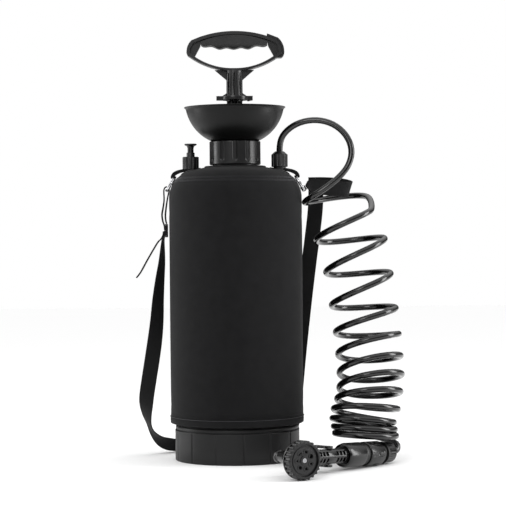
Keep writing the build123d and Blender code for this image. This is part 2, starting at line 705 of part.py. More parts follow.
def handle_frame():
    outline = handle_outline()
    opening = handle_opening()
    inside = offset(outline, amount=-HANDLE_RIM)
    rim = extrude(Plane.XZ * outline, amount=HANDLE_DEPTH / 2, both=True)
    rim -= extrude(Plane.XZ * (inside + opening), amount=HANDLE_DEPTH, both=True)
    web = extrude(Plane.XZ * (outline - opening), amount=HANDLE_WEB_DEPTH / 2, both=True)
    frame = rim + web
    flange_top = FLANGE_BOTTOM_Z + FLANGE_THICK
    join = HANDLE_BOTTOM_Z + 1.0
    frame += post(ROD_RADIUS, FLANGE_BOTTOM_Z, join)
    frame += post(FLANGE_RADIUS, FLANGE_BOTTOM_Z, flange_top)
    frame += Pos(0, 0, FLANGE_BOTTOM_Z + FLANGE_THICK / 2) * Box(TAB_SPAN, TAB_WIDTH, FLANGE_THICK)
    ramp = [(TAB_SPAN / 2 - 8.5, FLANGE_BOTTOM_Z), (TAB_SPAN / 2 - 7.0, FLANGE_BOTTOM_Z - TAB_RAMP),
            (TAB_SPAN / 2 - 0.5, FLANGE_BOTTOM_Z), (TAB_SPAN / 2 - 4.0, FLANGE_BOTTOM_Z + 1)]
    small = [(ROD_RADIUS - 1, flange_top + 4.6), (FLANGE_RADIUS - 0.9, flange_top - 0.5),
             (ROD_RADIUS - 1, flange_top - 0.5)]
    large = [(ROD_RADIUS - 1, join - 14.6), (27.6, join), (ROD_RADIUS - 1, join)]
    for side in (1, -1):
        for outline, thick in ((small, 9.0), (large, GUSSET_THICK)):
            points = [(side * x, z) for x, z in outline]
            face = Plane.XZ * make_face(Polyline(*points, close=True))
            frame += extrude(face, amount=thick / 2, both=True)
    face = Plane.XZ * make_face(Polyline(*ramp, close=True))
    frame += extrude(face, amount=TAB_WIDTH / 2, both=True)
    slot_low = flange_top + 1.0
    slot_high = HANDLE_BOTTOM_Z - 3.0
    mid = (slot_low + slot_high) / 2
    lens = make_face(Polyline((-0.9, slot_low), (0.9, slot_low), (1.7, mid), (0.9, slot_high),
                              (-0.9, slot_high), (-1.7, mid), close=True))
    cutter = Pos(0, -6.6, 0) * extrude(Plane.XZ * lens, amount=8)
    for turn in range(STEM_SLOT_COUNT):
        frame -= Rot(0, 0, turn * 360.0 / STEM_SLOT_COUNT) * cutter
    frame -= post(STEM_BORE, FLANGE_BOTTOM_Z - 1, FLANGE_BOTTOM_Z + SPIGOT_LENGTH)
    return frame


GRIP_HALF = 46.8
GRIP_LOW = [
    (-46.6, 18.7), (-40.4, 20.8), (-32.3, 20.1), (-26.5, 22.1), (-20.6, 24.4), (-11.3, 22.3),
    (-0.6, 24.6), (9.7, 22.2), (19.6, 24.3), (25.5, 21.9), (30.8, 19.8), (37.6, 20.6),
    (46.6, 18.7),
]


def handle_grip():
    """Return the finger grip: a scalloped bar set under the handle's top band. Its lower
    edge is given by distances below the handle's top."""
    top = HANDLE_TOP_Z - 5.3 - SEAT_GAP
    end = HANDLE_HALF_WIDTH * 0.704 - SEAT_GAP
    low = [(x * end / GRIP_HALF, HANDLE_TOP_Z - drop) for x, drop in GRIP_LOW]
    lines = ThreePointArc((-end, top - 9.4), (0, top), (end, top - 9.4))
    lines += Line((end, top - 9.4), low[-1])
    lines += Spline(*low)
    lines += Line(low[0], (-end, top - 9.4))
    bar = extrude(Plane.XZ * make_face(lines), amount=GRIP_DEPTH / 2, both=True)
    tall = 30.0
    middle = HANDLE_TOP_Z - GRIP_DROP + tall / 2
    section = Plane.YZ * Pos(0, middle) * RectangleRounded(GRIP_DEPTH, tall, GRIP_ROUND)
    return bar & extrude(section, amount=HANDLE_HALF_WIDTH, both=True)


def handle_clip():
    """Return the C-shaped clip snapped over the right end of the handle's band."""
    outline = handle_outline()
    ring = offset(outline, amount=CLIP_THICK + SEAT_GAP) - offset(outline, amount=SEAT_GAP)
    low = HANDLE_BOTTOM_Z + 17.5
    window = make_face(Polyline(
        (HANDLE_HALF_WIDTH * 0.7, HANDLE_TOP_Z + 5), (HANDLE_HALF_WIDTH * 0.68, HANDLE_TOP_Z - 14),
        (HANDLE_HALF_WIDTH * 0.8, low), (HANDLE_HALF_WIDTH * 1.2, low),
        (HANDLE_HALF_WIDTH * 1.2, HANDLE_TOP_Z + 5), close=True))
    return extrude(Plane.XZ * (ring & window), amount=CLIP_DEPTH / 2, both=True)


# Relief valve and outlet


def flute_nut(bottom, top, hole, taper):
    """Return a small fluted nut for a boss, with a tapered or a flat top."""
    bore = BOSS_RADIUS + SEAT_GAP
    lip = BOSS_TOP_Z + RELIEF_SEAL + RELIEF_FLANGE + SEAT_GAP
    radius = RELIEF_NUT_RADIUS
    crown = [(radius, top - 0.8), (radius - 0.8, top)]
    if taper:
        crown = [(radius, top - taper), (hole + 1.8, top)]
    nut = turned([(bore, bottom), (radius - 0.6, bottom), (radius, bottom + 0.6)] + crown
                 + [(hole, top), (hole, lip), (bore, lip)])
    for cutter in fluted(radius, bottom + 1.2, top + 1, SMALL_FLUTE_COUNT, SMALL_FLUTE_RADIUS, 0.7):
        nut -= cutter
    return nut


def relief_nut():
    return Pos(-BOSS_X, 0, 0) * flute_nut(
        RELIEF_NUT_BOTTOM_Z, RELIEF_NUT_TOP_Z, RELIEF_BODY_RADIUS + SEAT_GAP, 0)


def seal_ring(side):
    """Return the flat seal between a boss and the fitting that it carries."""
    return Pos(side * BOSS_X, 0, 0) * tube(
        BOSS_RADIUS - 0.3, BOSS_BORE + 0.2, BOSS_TOP_Z, BOSS_TOP_Z + RELIEF_SEAL)


def relief_body():
    seat = BOSS_TOP_Z + RELIEF_SEAL
    outer = BOSS_BORE - SEAT_GAP
    hole = RELIEF_STEM + SLIDE_GAP
    ceiling = RELIEF_BODY_TOP_Z - 2.6
    body = turned([
        (RELIEF_SEAT_HOLE, RELIEF_SEAT_Z - 2), (outer, RELIEF_SEAT_Z - 2), (outer, seat),
        (BOSS_RADIUS - 0.3, seat), (BOSS_RADIUS - 0.3, seat + RELIEF_FLANGE),
        (RELIEF_BODY_RADIUS, seat + RELIEF_FLANGE), (RELIEF_BODY_RADIUS, RELIEF_BODY_TOP_Z - 0.5),
        (RELIEF_BODY_RADIUS - 0.5, RELIEF_BODY_TOP_Z), (hole, RELIEF_BODY_TOP_Z), (hole, ceiling),
        (RELIEF_BORE, ceiling), (RELIEF_BORE, RELIEF_SEAT_Z), (RELIEF_SEAT_HOLE, RELIEF_SEAT_Z),
    ])
    return Pos(-BOSS_X, 0, 0) * body


RELIEF_DISC_Z = RELIEF_SEAT_Z + 1.5


def relief_pin():
    """Return the pull knob with its stem and valve disc in one piece."""
    low = RELIEF_BODY_TOP_Z + 0.2
    pin = turned([
        (0, RELIEF_DISC_Z), (3.6, RELIEF_DISC_Z), (3.6, RELIEF_DISC_Z + 2), (RELIEF_STEM, RELIEF_DISC_Z + 2),
        (RELIEF_STEM, low), (KNOB_NECK_RADIUS, low), (KNOB_NECK_RADIUS, KNOB_TOP_Z - 6.0),
        (KNOB_NECK_RADIUS + 0.9, KNOB_TOP_Z - 3.6), (KNOB_RADIUS - 0.5, KNOB_TOP_Z - 2.0),
        (KNOB_RADIUS, KNOB_TOP_Z - 1.2), (KNOB_RADIUS - 0.6, KNOB_TOP_Z), (KNOB_RADIUS - 3.0, KNOB_TOP_Z - 0.6),
        (0, KNOB_TOP_Z - 0.9),
    ])
    rib_low = low + 0.8
    rib_high = KNOB_TOP_Z - 4.4
    cutter = Pos(KNOB_NECK_RADIUS + 0.5, 0, (rib_low + rib_high) / 2) * Box(
        2.6, 1.6, rib_high - rib_low)
    for piece in around(8, cutter, 22.5):
        pin -= piece
    return Pos(-BOSS_X, 0, 0) * pin


def relief_oring():
    ring = Torus(RELIEF_SEAT_HOLE + 0.9, 0.65)
    return Pos(-BOSS_X, 0, RELIEF_DISC_Z - 0.7) * ring


def coil_spring(radius, wire, bottom, top, turns):
    """Return a helical wire spring standing on the Z axis."""
    height = top - bottom - 2 * wire
    path = Pos(0, 0, bottom + wire) * Helix(height / turns, height, radius)
    section = Plane(origin=path @ 0, z_dir=path % 0) * Circle(wire)
    return sweep(section, path=path, is_frenet=True)


def relief_spring():
    low = RELIEF_DISC_Z + 2.05
    high = RELIEF_BODY_TOP_Z - 2.65
    return Pos(-BOSS_X, 0, 0) * coil_spring(RELIEF_STEM + 0.85, SPRING_WIRE, low, high, 6)


def hose_nut():
    return Pos(BOSS_X, 0, 0) * flute_nut(
        OUTLET_NUT_BOTTOM_Z, OUTLET_NUT_TOP_Z, HOSE_RADIUS + SEAT_GAP, OUTLET_NUT_TAPER)


def outlet_spigot():
    """Return the elbowless outlet: a tail for the dip tube, a flange and a hose barb."""
    seat = BOSS_TOP_Z + RELIEF_SEAL
    tail = DIP_RADIUS - DIP_WALL - SEAT_GAP
    spigot = turned([
        (1.6, 390), (tail, 390), (tail, 402), (BOSS_BORE - SEAT_GAP, 402), (BOSS_BORE - SEAT_GAP, seat),
        (BOSS_RADIUS - 0.3, seat), (BOSS_RADIUS - 0.3, seat + RELIEF_FLANGE), (3.6, seat + RELIEF_FLANGE),
        (4.0, seat + RELIEF_FLANGE + 2.6), (3.2, seat + RELIEF_FLANGE + 3.0),
        (3.8, seat + RELIEF_FLANGE + 5.4), (3.0, OUTLET_NUT_TOP_Z - 2), (3.0, OUTLET_NUT_TOP_Z),
        (1.6, OUTLET_NUT_TOP_Z),
    ])
    return Pos(BOSS_X, 0, 0) * spigot


def dip_tube():
    return Pos(BOSS_X, 0, 0) * tube(DIP_RADIUS, DIP_RADIUS - DIP_WALL, DIP_BOTTOM_Z, 402 - SEAT_GAP)


def strainer():
    """Return the slotted strainer cup on the lower end of the dip tube."""
    low = DIP_BOTTOM_Z - 4
    high = low + STRAINER_HEIGHT
    fit = DIP_RADIUS + SEAT_GAP
    cup = turned([
        (0, low), (STRAINER_RADIUS - 1, low), (STRAINER_RADIUS, low + 1), (STRAINER_RADIUS, high - 3),
        (fit + 1.4, high), (fit, high), (fit, high - 5), (STRAINER_RADIUS - 1.4, high - 5),
        (STRAINER_RADIUS - 1.4, low + 1.6), (0, low + 1.6),
    ])
    slot = Pos(STRAINER_RADIUS, 0, low + 5.4) * Box(5, 1.4, 6)
    for cutter in around(8, slot):
        cup -= cutter
    return Pos(BOSS_X, 0, 0) * cup


# Webbing, rings and strap


TAB_LINE = [(66.5, 407.3), (74.0, 406.0), (81.0, 404.4), (86.4, 401.6), (88.9, 397.4), (89.1, 394.6)]


def cover_tab(side):
    """Return the webbing tab sewn to the shoulder, bent over its split ring."""
    line = [(side * x, z) for x, z in TAB_LINE]
    tab = band(line, TAB_WEB_THICK, TAB_WEB_WIDTH)
    tab -= shell_outline(SOFT_GAP + COVER_WALL + 0.2, COVER_BOTTOM_Z, NECK_RADIUS)
    tab -= Pos(side * BOSS_X, 0, 0) * post(
        EYELET_HOLE + 2 * EYELET_WIRE + 0.5, SHOULDER_Z, NECK_TOP_Z)
    return tab


def split_ring(side):
    """Return a split ring: two close turns of wire, leaning on the shoulder."""
    ring = Torus(RING_RADIUS, RING_WIRE)
    pair = Pos(0, 0, RING_WIRE * 0.9) * ring + Pos(0, 0, -RING_WIRE * 0.9) * ring
    return Pos(side * RING_X, 0, RING_Z) * Rot(0, side * RING_LEAN, 0) * pair


STRAP_LOOP = [
    (-97.0, 331.3), (-98.1, 336.0), (-98.5, 344.0), (-97.0, 356.6), (-95.5, 366.0), (-94.5, 371.0),
    (-93.6, 375.0), (-92.95, 378.3), (-93.6, 381.3), (-95.6, 382.9), (-98.2, 382.3), (-99.9, 379.8),
    (-100.5, 376.0), (-100.2, 364.5), (-101.6, 354.0), (-103.3, 344.0), (-102.3, 335.0),
    (-100.2, 328.5), (-99.5, 321.8),
]
LOOP_NECK = 11.6


def strap_loop():
    """Return the short double strap, gathered at the left ring, down to the slider."""
    loop = band(STRAP_LOOP, WEB_THICK, WEB_WIDTH)
    half = WEB_WIDTH / 2
    neck = LOOP_NECK / 2
    outline = Polyline((-half, 320), (-half, 352), (-neck, 372), (-neck, 390), (neck, 390),
                       (neck, 372), (half, 352), (half, 320), close=True)
    return loop & extrude(Plane.YZ * make_face(outline), amount=-120)


def strap_slider():
    """Return the three-bar slider of the shoulder strap."""
    frame = Box(SLIDER_THICK, SLIDER_WIDTH, SLIDER_HEIGHT)
    frame = fillet(frame.edges().filter_by(Axis.X), 2.5)
    slot = (SLIDER_HEIGHT - 3 * SLIDER_BAR) / 2
    for side in (-1, 1):
        frame -= Pos(0, 0, side * (slot + SLIDER_BAR) / 2) * Box(
            SLIDER_THICK + 1, SLIDER_WIDTH - 2 * SLIDER_BAR, slot)
    return Pos(SLIDER_X, 0, SLIDER_Z) * frame


STRAP_TAIL = [(-101.3, 320.5), (-102.0, 315.0), (-105.0, 309.6), (-110.3, 303.9), (-124.0, 281.0), (-133.5, 264.0),
              (-139.8, 255.6)]


def strap_tail():
    """Return the loose end of the strap, which stands away from the slider."""
    tail = band(STRAP_TAIL, WEB_THICK, WEB_WIDTH)
    tip = Pos(STRAP_TAIL[-1][0] + 0.8, 0, STRAP_TAIL[-1][1] + 0.8) * Rot(90, 0, 0) * Cylinder(1.5, WEB_WIDTH)
    return tail + tip


def turned_across(angle):
    """Return a level direction at an angle from the Y axis towards the X axis."""
    return (sin(radians(angle)), cos(radians(angle)), 0)


STRAP_RUN = [
    ((-99.5, 0, 321.5), WEB_WIDTH, turned_across(0)),
    ((-99.8, 0, 315.5), WEB_WIDTH, turned_across(0)),
    ((-102.3, 0.5, 306.9), WEB_WIDTH, turned_across(6)),
    ((-104.2, 3, 278.8), WEB_WIDTH, turned_across(20)),
    ((-107.6, 6, 250.7), WEB_WIDTH, turned_across(33)),
    ((-110.5, 10, 222.6), WEB_WIDTH, turned_across(45)),
    ((-112.6, 15, 194.5), WEB_WIDTH, turned_across(57)),
    ((-116.0, 21, 166.4), WEB_WIDTH, turned_across(72)),
    ((-120.5, 28, 138.3), WEB_WIDTH, turned_across(84)),
    ((-125.5, 36, 110.2), WEB_WIDTH, turned_across(92)),
    ((-130.0, 45, 82.0), WEB_WIDTH, turned_across(104)),
    ((-130.6, 53, 60.0), WEB_WIDTH, turned_across(138)),
    ((-127.4, 60, 43.0), WEB_WIDTH, (0.30, -0.95, 0.05)),
    ((-120.0, 68, 28.5), WEB_WIDTH, (0.15, -0.85, 0.40)),
    ((-108.0, 78, 16.5), WEB_WIDTH, (0.05, -0.70, 0.70)),
    ((-91.6, 91.3, 10.2), WEB_WIDTH, (0.0, -0.60, 0.80)),
    ((-64.0, 107.0, 9.6), WEB_WIDTH, (0.0, -0.60, 0.80)),
    ((-32.0, 116.0, 9.6), WEB_WIDTH, (0.0, -0.60, 0.80)),
    ((0.0, 119.0, 9.6), WEB_WIDTH, (0.0, -0.60, 0.80)),
    ((32.0, 115.0, 9.6), WEB_WIDTH, (0.0, -0.60, 0.80)),
    ((56.0, 106.0, 10.6), WEB_WIDTH, (0.0, -0.60, 0.80)),
    ((68.0, 98.0, 17.0), WEB_WIDTH, (0.35, -0.50, 0.78)),
    ((76.5, 90.0, 32.0), WEB_WIDTH, (0.75, -0.35, 0.50)),
    ((80.5, 82.0, 56.0), WEB_WIDTH, (0.95, -0.15, 0.20)),
    ((84.5, 73.0, 96.0), WEB_WIDTH, (1.0, 0.0, 0.1)),
    ((89.5, 64.5, 149.0), WEB_WIDTH, (1.0, 0.0, 0.1)),
    ((97.5, 57.0, 221.0), WEB_WIDTH, (1.0, 0.0, 0.1)),
    ((104.7, 52.0, 279.0), WEB_WIDTH, (1.0, 0.0, 0.1)),
    ((108.5, 50.0, 307.0), WEB_WIDTH, (1.0, 0.0, 0.05)),
    ((113.6, 49.2, 350.0), WEB_WIDTH, (1.0, 0.0, 0.0)),
    ((115.0, 49.2, 386.0), WEB_WIDTH, (1.0, 0.0, 0.0)),
]
STRAP_FOLD = [
    ((100.2, 9.0, 380.8), 7.0, (-0.375, 0.707, 0.6)),
    ((103.2, 10.3, 381.6), 14.0, (-0.1, 0.4, 0.9)),
    ((107.0, 11.6, 381.9), 20.5, (0.0, 0.15, 1.0)),
    ((122.0, 12.5, 380.8), WEB_WIDTH, (0.05, 0.05, 1.0)),
    ((142.0, 13.5, 378.8), WEB_WIDTH, (0.12, 0.05, 1.0)),
    ((154.0, 16.0, 377.6), WEB_WIDTH, (0.25, 0.05, 1.0)),
    ((160.5, 21.5, 377.8), WEB_WIDTH, (0.3, 0.0, 1.0)),
    ((162.5, 30.0, 379.2), WEB_WIDTH, (0.3, 0.0, 1.0)),
    ((158.5, 39.5, 381.6), WEB_WIDTH, (0.2, 0.0, 1.0)),
    ((147.0, 45.6, 384.0), WEB_WIDTH, (0.1, 0.0, 1.0)),
    ((126.0, 47.6, 385.5), WEB_WIDTH, (0.0, 0.0, 1.0)),
    ((104.0, 47.6, 385.5), WEB_WIDTH, (0.0, 0.0, 1.0)),
]
RUN_BACK_FROM = 15
RUN_BACK_TO = 20
EYE_CENTRE = (95.9, 8.5, 379.6)
EYE_AXIS = (-0.375, 0.707, 0.6)
EYE_BORE = 2.8
EYE_WALL = 0.8
EYE_WIDTH = 6.0


def strap_eye():
    """Return the small stitched eye that holds the strap on the right ring's wire."""
    eye = tube(EYE_BORE + EYE_WALL, EYE_BORE, -EYE_WIDTH / 2, EYE_WIDTH / 2)
    return Plane(origin=EYE_CENTRE, z_dir=EYE_AXIS).location * eye


# Hose


def hose_coil():
    """Return the stretched coil as one fat column of its outer diameter."""
    outer = COIL_RADIUS + HOSE_RADIUS
    return loft([Plane(origin=point) * Circle(outer) for point in COIL_STATIONS], ruled=True)


# Spray gun and quick connector


DIAL_NORMAL = Vector(sin(radians(DIAL_TURN)), -cos(radians(DIAL_TURN)), 0)
HEAD_CENTRE = Vector(DIAL_FACE[0], DIAL_FACE[1], DIAL_RADIUS) - DIAL_NORMAL * HEAD_AXIS_DEPTH
AXIS_END = Vector(HANDLE_AXIS_END[0], HANDLE_AXIS_END[1], CONNECTOR_RADIUS + AXIS_LIFT)
GUN_AXIS = (AXIS_END - HEAD_CENTRE).normalized()
GUN_UP = (Vector(0, 0, 1) - GUN_AXIS * GUN_AXIS.Z).normalized()
HEAD_PLANE = Plane(
    origin=(DIAL_FACE[0], DIAL_FACE[1], DIAL_RADIUS), x_dir=(0, 0, 1), z_dir=DIAL_NORMAL)
GUN_PLANE = Plane(origin=HEAD_CENTRE, x_dir=GUN_UP, z_dir=GUN_AXIS)


def on_gun(shape):
    """Place a shape that was made along Z on the axis of the gun's handle."""
    return GUN_PLANE.location * shape


def on_head(shape):
    """Place a shape that was made with its face at z = 0 on the dial's axis."""
    return HEAD_PLANE.location * shape


def head_solid():
    back = -DIAL_DEPTH - LOOSE_GAP
    step = back - HEAD_FLANGE
    end = step - HEAD_CONE_DEPTH
    return turned([
        (0, back), (HEAD_FLANGE_RADIUS - 0.6, back), (HEAD_FLANGE_RADIUS, back - 0.6),
        (HEAD_FLANGE_RADIUS, step + 0.6), (HEAD_FLANGE_RADIUS - 0.6, step), (HEAD_CONE_RADIUS, step),
        (HEAD_CONE_RADIUS - 2.4, step - 5), (HEAD_WAIST_RADIUS + 6.4, step - 16),
        (HEAD_WAIST_RADIUS + 3.4, step - 25), (HEAD_WAIST_RADIUS, end + 8), (HEAD_WAIST_RADIUS, end + 5),
        (HEAD_END_RADIUS, end + 4.2), (HEAD_END_RADIUS, end + 0.6), (HEAD_END_RADIUS - 0.6, end),
        (HEAD_END_RADIUS - 2.0, end), (HEAD_END_RADIUS - 2.0, end + 2.4), (0, end + 2.4),
    ])


GRIP_BACK = CUP_START + 2.0


def gun_head():
    """Return the head's housing, with the dial's hub and the neck for the handle."""
    head = on_head(head_solid() + post(DIAL_PLATE_RADIUS - 4.0, -DIAL_DEPTH - 1, -DIAL_RECESS - 3.3))
    neck = on_gun(post(BARREL_GRIP_RADIUS + 1.5, 6.0, SLOT_START - 5.0))
    return head + neck


def gun_handle():
    """Return the slotted handle barrel with the cup that takes the connector."""
    start = SLOT_START - 5.0
    barrel = post(BARREL_GRIP_RADIUS, start, GRIP_BACK)
    angles = (27.0, -27.0, 153.0, -153.0)
    deep = BARREL_GRIP_RADIUS - BARREL_GRIP_CORE
    slots = [i for i in range(SLOT_COUNT) if abs(SLOT_START + (i + 0.5) * SLOT_PITCH - LEVER_AT) > 7.5]
    for i in slots:
        height = SLOT_START + (i + 0.5) * SLOT_PITCH
        for turn in angles:
            cutter = Pos(0, -BARREL_GRIP_CORE - deep / 2, height) * Box(
                BARREL_GRIP_CORE, deep, SLOT_WIDTH)
            barrel -= Rot(0, 0, turn) * cutter
    end = CUP_START + CUP_LENGTH
    wall = CONNECTOR_RADIUS
    cup = turned([
        (0, CUP_START), (wall - 4.0, CUP_START), (wall - 1.0, CUP_START + 2.5), (wall, CUP_START + 7.0),
        (wall, end - 1.0), (wall - 1.0, end), (0, end),
    ])
    cup -= tube(wall - 2.4, BARREL_GRIP_RADIUS + 1.6, CUP_START - 1, CUP_START + 5)
    inlet = post(7.0, end - 1, end + GROOVE_RING + 14.0)
    cup = cup + inlet - post(3.2, CUP_START + 20, end + GROOVE_RING + 16.0)
    return on_gun(barrel + cup)


CUP_END = CUP_START + CUP_LENGTH
SLEEVE_START = CUP_END + GROOVE_RING
SLEEVE_END = SLEEVE_START + SLEEVE_LENGTH
BODY_END = SLEEVE_END + SLEEVE_TRAVEL + 3.0


def connector_body():
    """Return the quick connector's inner body, with the tail that takes the hose."""
    core = CONNECTOR_RADIUS - 4.0
    body = turned([
        (7.0 + SEAT_GAP, SLEEVE_START), (core, SLEEVE_START), (core, BODY_END),
        (CONNECTOR_RADIUS - 1.2, BODY_END), (CONNECTOR_RADIUS - 1.2, BODY_END + 3.0),
        (9.0, BODY_END + 3.0), (9.0, BODY_END + 13.0), (3.0, BODY_END + 13.0),
        (3.0, BODY_END - 4.0), (7.0 + SEAT_GAP, SLEEVE_START + 16.0),
    ])
    return on_gun(body)


def connector_ring():
    """Return the soft ring between the cup and the connector's sleeve."""
    return on_gun(tube(CONNECTOR_RADIUS - 2.0, 7.0 + SEAT_GAP, CUP_END, SLEEVE_START - SEAT_GAP))


def connector_sleeve():
    """Return the release sleeve that is drawn back along the connector."""
    core = CONNECTOR_RADIUS - 4.0 + SLIDE_GAP
    wall = CONNECTOR_RADIUS
    sleeve = turned([
        (core, SLEEVE_START + 0.3), (wall - 1.0, SLEEVE_START + 0.3), (wall, SLEEVE_START + 1.3),
        (wall, SLEEVE_END - 1.3), (wall - 1.0, SLEEVE_END), (core + 2.0, SLEEVE_END),
        (core + 2.0, SLEEVE_END - 14.0), (core, SLEEVE_END - 14.0),
    ])
    dimple = Pos(wall + 4.2, 0, (SLEEVE_START + SLEEVE_END) / 2) * Sphere(5.4)
    for cutter in around(6, dimple, 30.0):
        sleeve -= cutter
    return on_gun(sleeve)


def connector_spring():
    """Return the sleeve's return spring, at the length it has when it is compressed."""
    low = SLEEVE_END - 13.9
    high = BODY_END - SLEEVE_TRAVEL - 2 * SEAT_GAP
    return on_gun(coil_spring(CONNECTOR_RADIUS - 3.0, 0.7, low, high, 4))


def hose_end_nut():
    """Return the fluted, tapered nut that clamps the hose on the connector."""
    start = BODY_END + 3.0 + SEAT_GAP
    end = start + END_NUT_LENGTH
    wide = CONNECTOR_RADIUS - 2.0
    nut = turned([
        (9.1, start), (wide - 0.8, start), (wide, start + 0.8), (wide - 0.6, end - 9.0),
        (7.4, end - 0.8), (6.4, end), (HOSE_RADIUS + SEAT_GAP, end), (HOSE_RADIUS + SEAT_GAP, end - 8.0),
        (9.1, end - 12.0),
    ])
    for cutter in fluted(wide, start + 2.0, end + 1, 14, 2.0, 0.9):
        nut -= cutter
    return on_gun(nut)


HOSE_END_ALONG = BODY_END + 3.0 + SEAT_GAP + END_NUT_LENGTH


def hose_tail():
    """Return the end of the hose, from inside its nut up to the lowest turn."""
    inside = HEAD_CENTRE + GUN_AXIS * (HOSE_END_ALONG - HOSE_GRIP)
    outside = HEAD_CENTRE + GUN_AXIS * (HOSE_END_ALONG + 3.5)
    return hose_tube([tuple(inside), tuple(outside)] + HOSE_TAIL, HOSE_RADIUS)


def dial_bezel():
    """Return the knurled ring that turns the spray patterns."""
    ring = turned([
        (DIAL_RIM_RADIUS - 2.4, -DIAL_DEPTH), (DIAL_RADIUS - 2.0, -DIAL_DEPTH),
        (DIAL_RADIUS - 0.9, -DIAL_DEPTH + 1.2), (DIAL_RADIUS - 0.9, -1.2), (DIAL_RADIUS - 2.2, 0),
        (DIAL_RIM_RADIUS + 0.6, 0), (DIAL_RIM_RADIUS, -0.6), (DIAL_RIM_RADIUS, -DIAL_RECESS - 1.0),
        (DIAL_RIM_RADIUS - 2.4, -DIAL_RECESS - 1.0),
    ])
    lobe = Pos(DIAL_RADIUS - DIAL_LOBE_RADIUS, 0, 0) * post(DIAL_LOBE_RADIUS, -DIAL_DEPTH + 1.0, -0.8)
    for piece in around(DIAL_LOBE_COUNT, lobe):
        ring += piece
    return on_head(ring)


OUTLET_CIRCLE = 11.0


def dial_plate():
    """Return the front plate with its seven spray outlets and the screw recess."""
    face = -DIAL_RECESS
    plate = post(DIAL_PLATE_RADIUS, face - 3.0, face)
    plate += tube(6.0, 3.4, face - 0.1, face + 1.0)
    plate -= post(3.4, face - 1.6, face + 3)
    outlets = [
        Cylinder(2.9, 8), Cylinder(1.9, 8), Box(1.6, 5.2, 8), Cylinder(1.3, 8), Cylinder(2.3, 8),
        Box(3.4, 3.4, 8), Cylinder(1.6, 8),
    ]
    for i, outlet in enumerate(outlets):
        turn = 360.0 * i / len(outlets) - 64.0
        collar = tube(3.9, 3.0, face - 0.1, face + 0.5)
        plate += Rot(0, 0, turn) * Pos(OUTLET_CIRCLE, 0, 0) * collar
        plate -= Rot(0, 0, turn) * Pos(OUTLET_CIRCLE, 0, face - 2.2) * outlet
    return on_head(plate)


def dial_screw():
    face = -DIAL_RECESS
    screw = post(2.9, face - 1.5, face + 0.6)
    screw -= Pos(0, 0, face + 0.4) * Box(4.4, 0.8, 1.2)
    screw -= Pos(0, 0, face + 0.4) * Box(0.8, 4.4, 1.2)
    return on_head(screw)


def flow_lever():
    """Return the forked thumb lever that straddles the handle and opens the valve."""
    inner = BARREL_GRIP_RADIUS + 0.35
    outer = inner + LEVER_BOSS_RISE
    pads = []
    for side in (1, -1):
        middle = side * (inner + outer) / 2
        boss = Pos(middle, 0, LEVER_AT) * Rot(0, 90, 0) * Cylinder(LEVER_BOSS_RADIUS, outer - inner)
        pads.append(boss)
    arm = Box(outer - inner, LEVER_REACH, LEVER_WIDTH)
    bridge = Box(2 * outer, LEVER_THICK, LEVER_WIDTH)
    lever = pads[0] + pads[1]
    for side in (1, -1):
        lever += Pos(side * (inner + outer) / 2, 5.0 - LEVER_REACH / 2, LEVER_AT) * arm
    lever += Pos(0, 5.0 - LEVER_REACH, LEVER_AT) * bridge
    return on_gun(lever)


def nodes():
    """Return every piece of the shower by its node's name."""
    return {
        "tank_shell": tank_shell(),
        "base_foot": base_foot(),
        "cover_sleeve": cover_sleeve(),
        "cover_hem": cover_hem(),
        "cover_binding": cover_binding(),
        "cover_eyelets": cover_eyelets(),
        "cover_tab_left": cover_tab(-1),
        "cover_tab_right": cover_tab(1),
        "split_ring_left": split_ring(-1),
        "split_ring_right": split_ring(1),
        "strap_loop": strap_loop(),
        "strap_slider": strap_slider(),
        "strap_tail": strap_tail(),
        "strap_left": ribbon(STRAP_RUN, 0, RUN_BACK_FROM),
        "strap_back": ribbon(STRAP_RUN, RUN_BACK_FROM, RUN_BACK_TO),
        "strap_right": ribbon(STRAP_RUN, RUN_BACK_TO, len(STRAP_RUN) - 1),
        "strap_fold": ribbon(STRAP_FOLD, 0, len(STRAP_FOLD) - 1),
        "strap_eye": strap_eye(),
        "collar_nut": collar_nut(),
        "neck_gasket": neck_gasket(),
        "funnel_bowl": funnel_bowl(),
        "pump_cap": pump_cap(),
        "cap_gasket": cap_gasket(),
        "pump_barrel": pump_barrel(),
        "check_valve": check_valve(),
        "valve_cage": valve_cage(),
        "piston": piston(),
        "piston_cup": piston_cup(),
        "pump_rod": pump_rod(),
        "pump_handle": handle_frame(),
        "handle_grip": handle_grip(),
        "handle_clip": handle_clip(),
        "relief_nut": relief_nut(),
        "relief_seal": seal_ring(-1),
        "relief_body": relief_body(),
        "relief_pin": relief_pin(),
        "relief_oring": relief_oring(),
        "relief_spring": relief_spring(),
        "hose_nut": hose_nut(),
        "outlet_seal": seal_ring(1),
        "outlet_spigot": outlet_spigot(),
        "dip_tube": dip_tube(),
        "strainer": strainer(),
        "hose_lead": hose_tube(HOSE_LEAD, HOSE_RADIUS),
        "hose_coil": hose_coil(),
        "hose_tail": hose_tail(),
        "hose_end_nut": hose_end_nut(),
        "connector_body": connector_body(),
        "connector_ring": connector_ring(),
        "connector_sleeve": connector_sleeve(),
        "connector_spring": connector_spring(),
        "gun_handle": gun_handle(),
        "gun_head": gun_head(),
        "dial_bezel": dial_bezel(),
        "dial_plate": dial_plate(),
        "dial_screw": dial_screw(),
        "flow_lever": flow_lever(),
    }


os.makedirs("parts", exist_ok=True)
for name, shape in nodes().items():
    export_step(shape, "parts/" + name + ".step")
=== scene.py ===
"""Portable pump-up shower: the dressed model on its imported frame.

Lengths are in millimetres in the sub-assemblies' fields and in metres in Blender.
"""

import logging
from dataclasses import astuple, dataclass
from enum import Enum
from math import atan, atan2, cos, degrees, exp, hypot, pi, radians, sin, sqrt, tan, tau
from typing import Callable, Iterable, Sequence

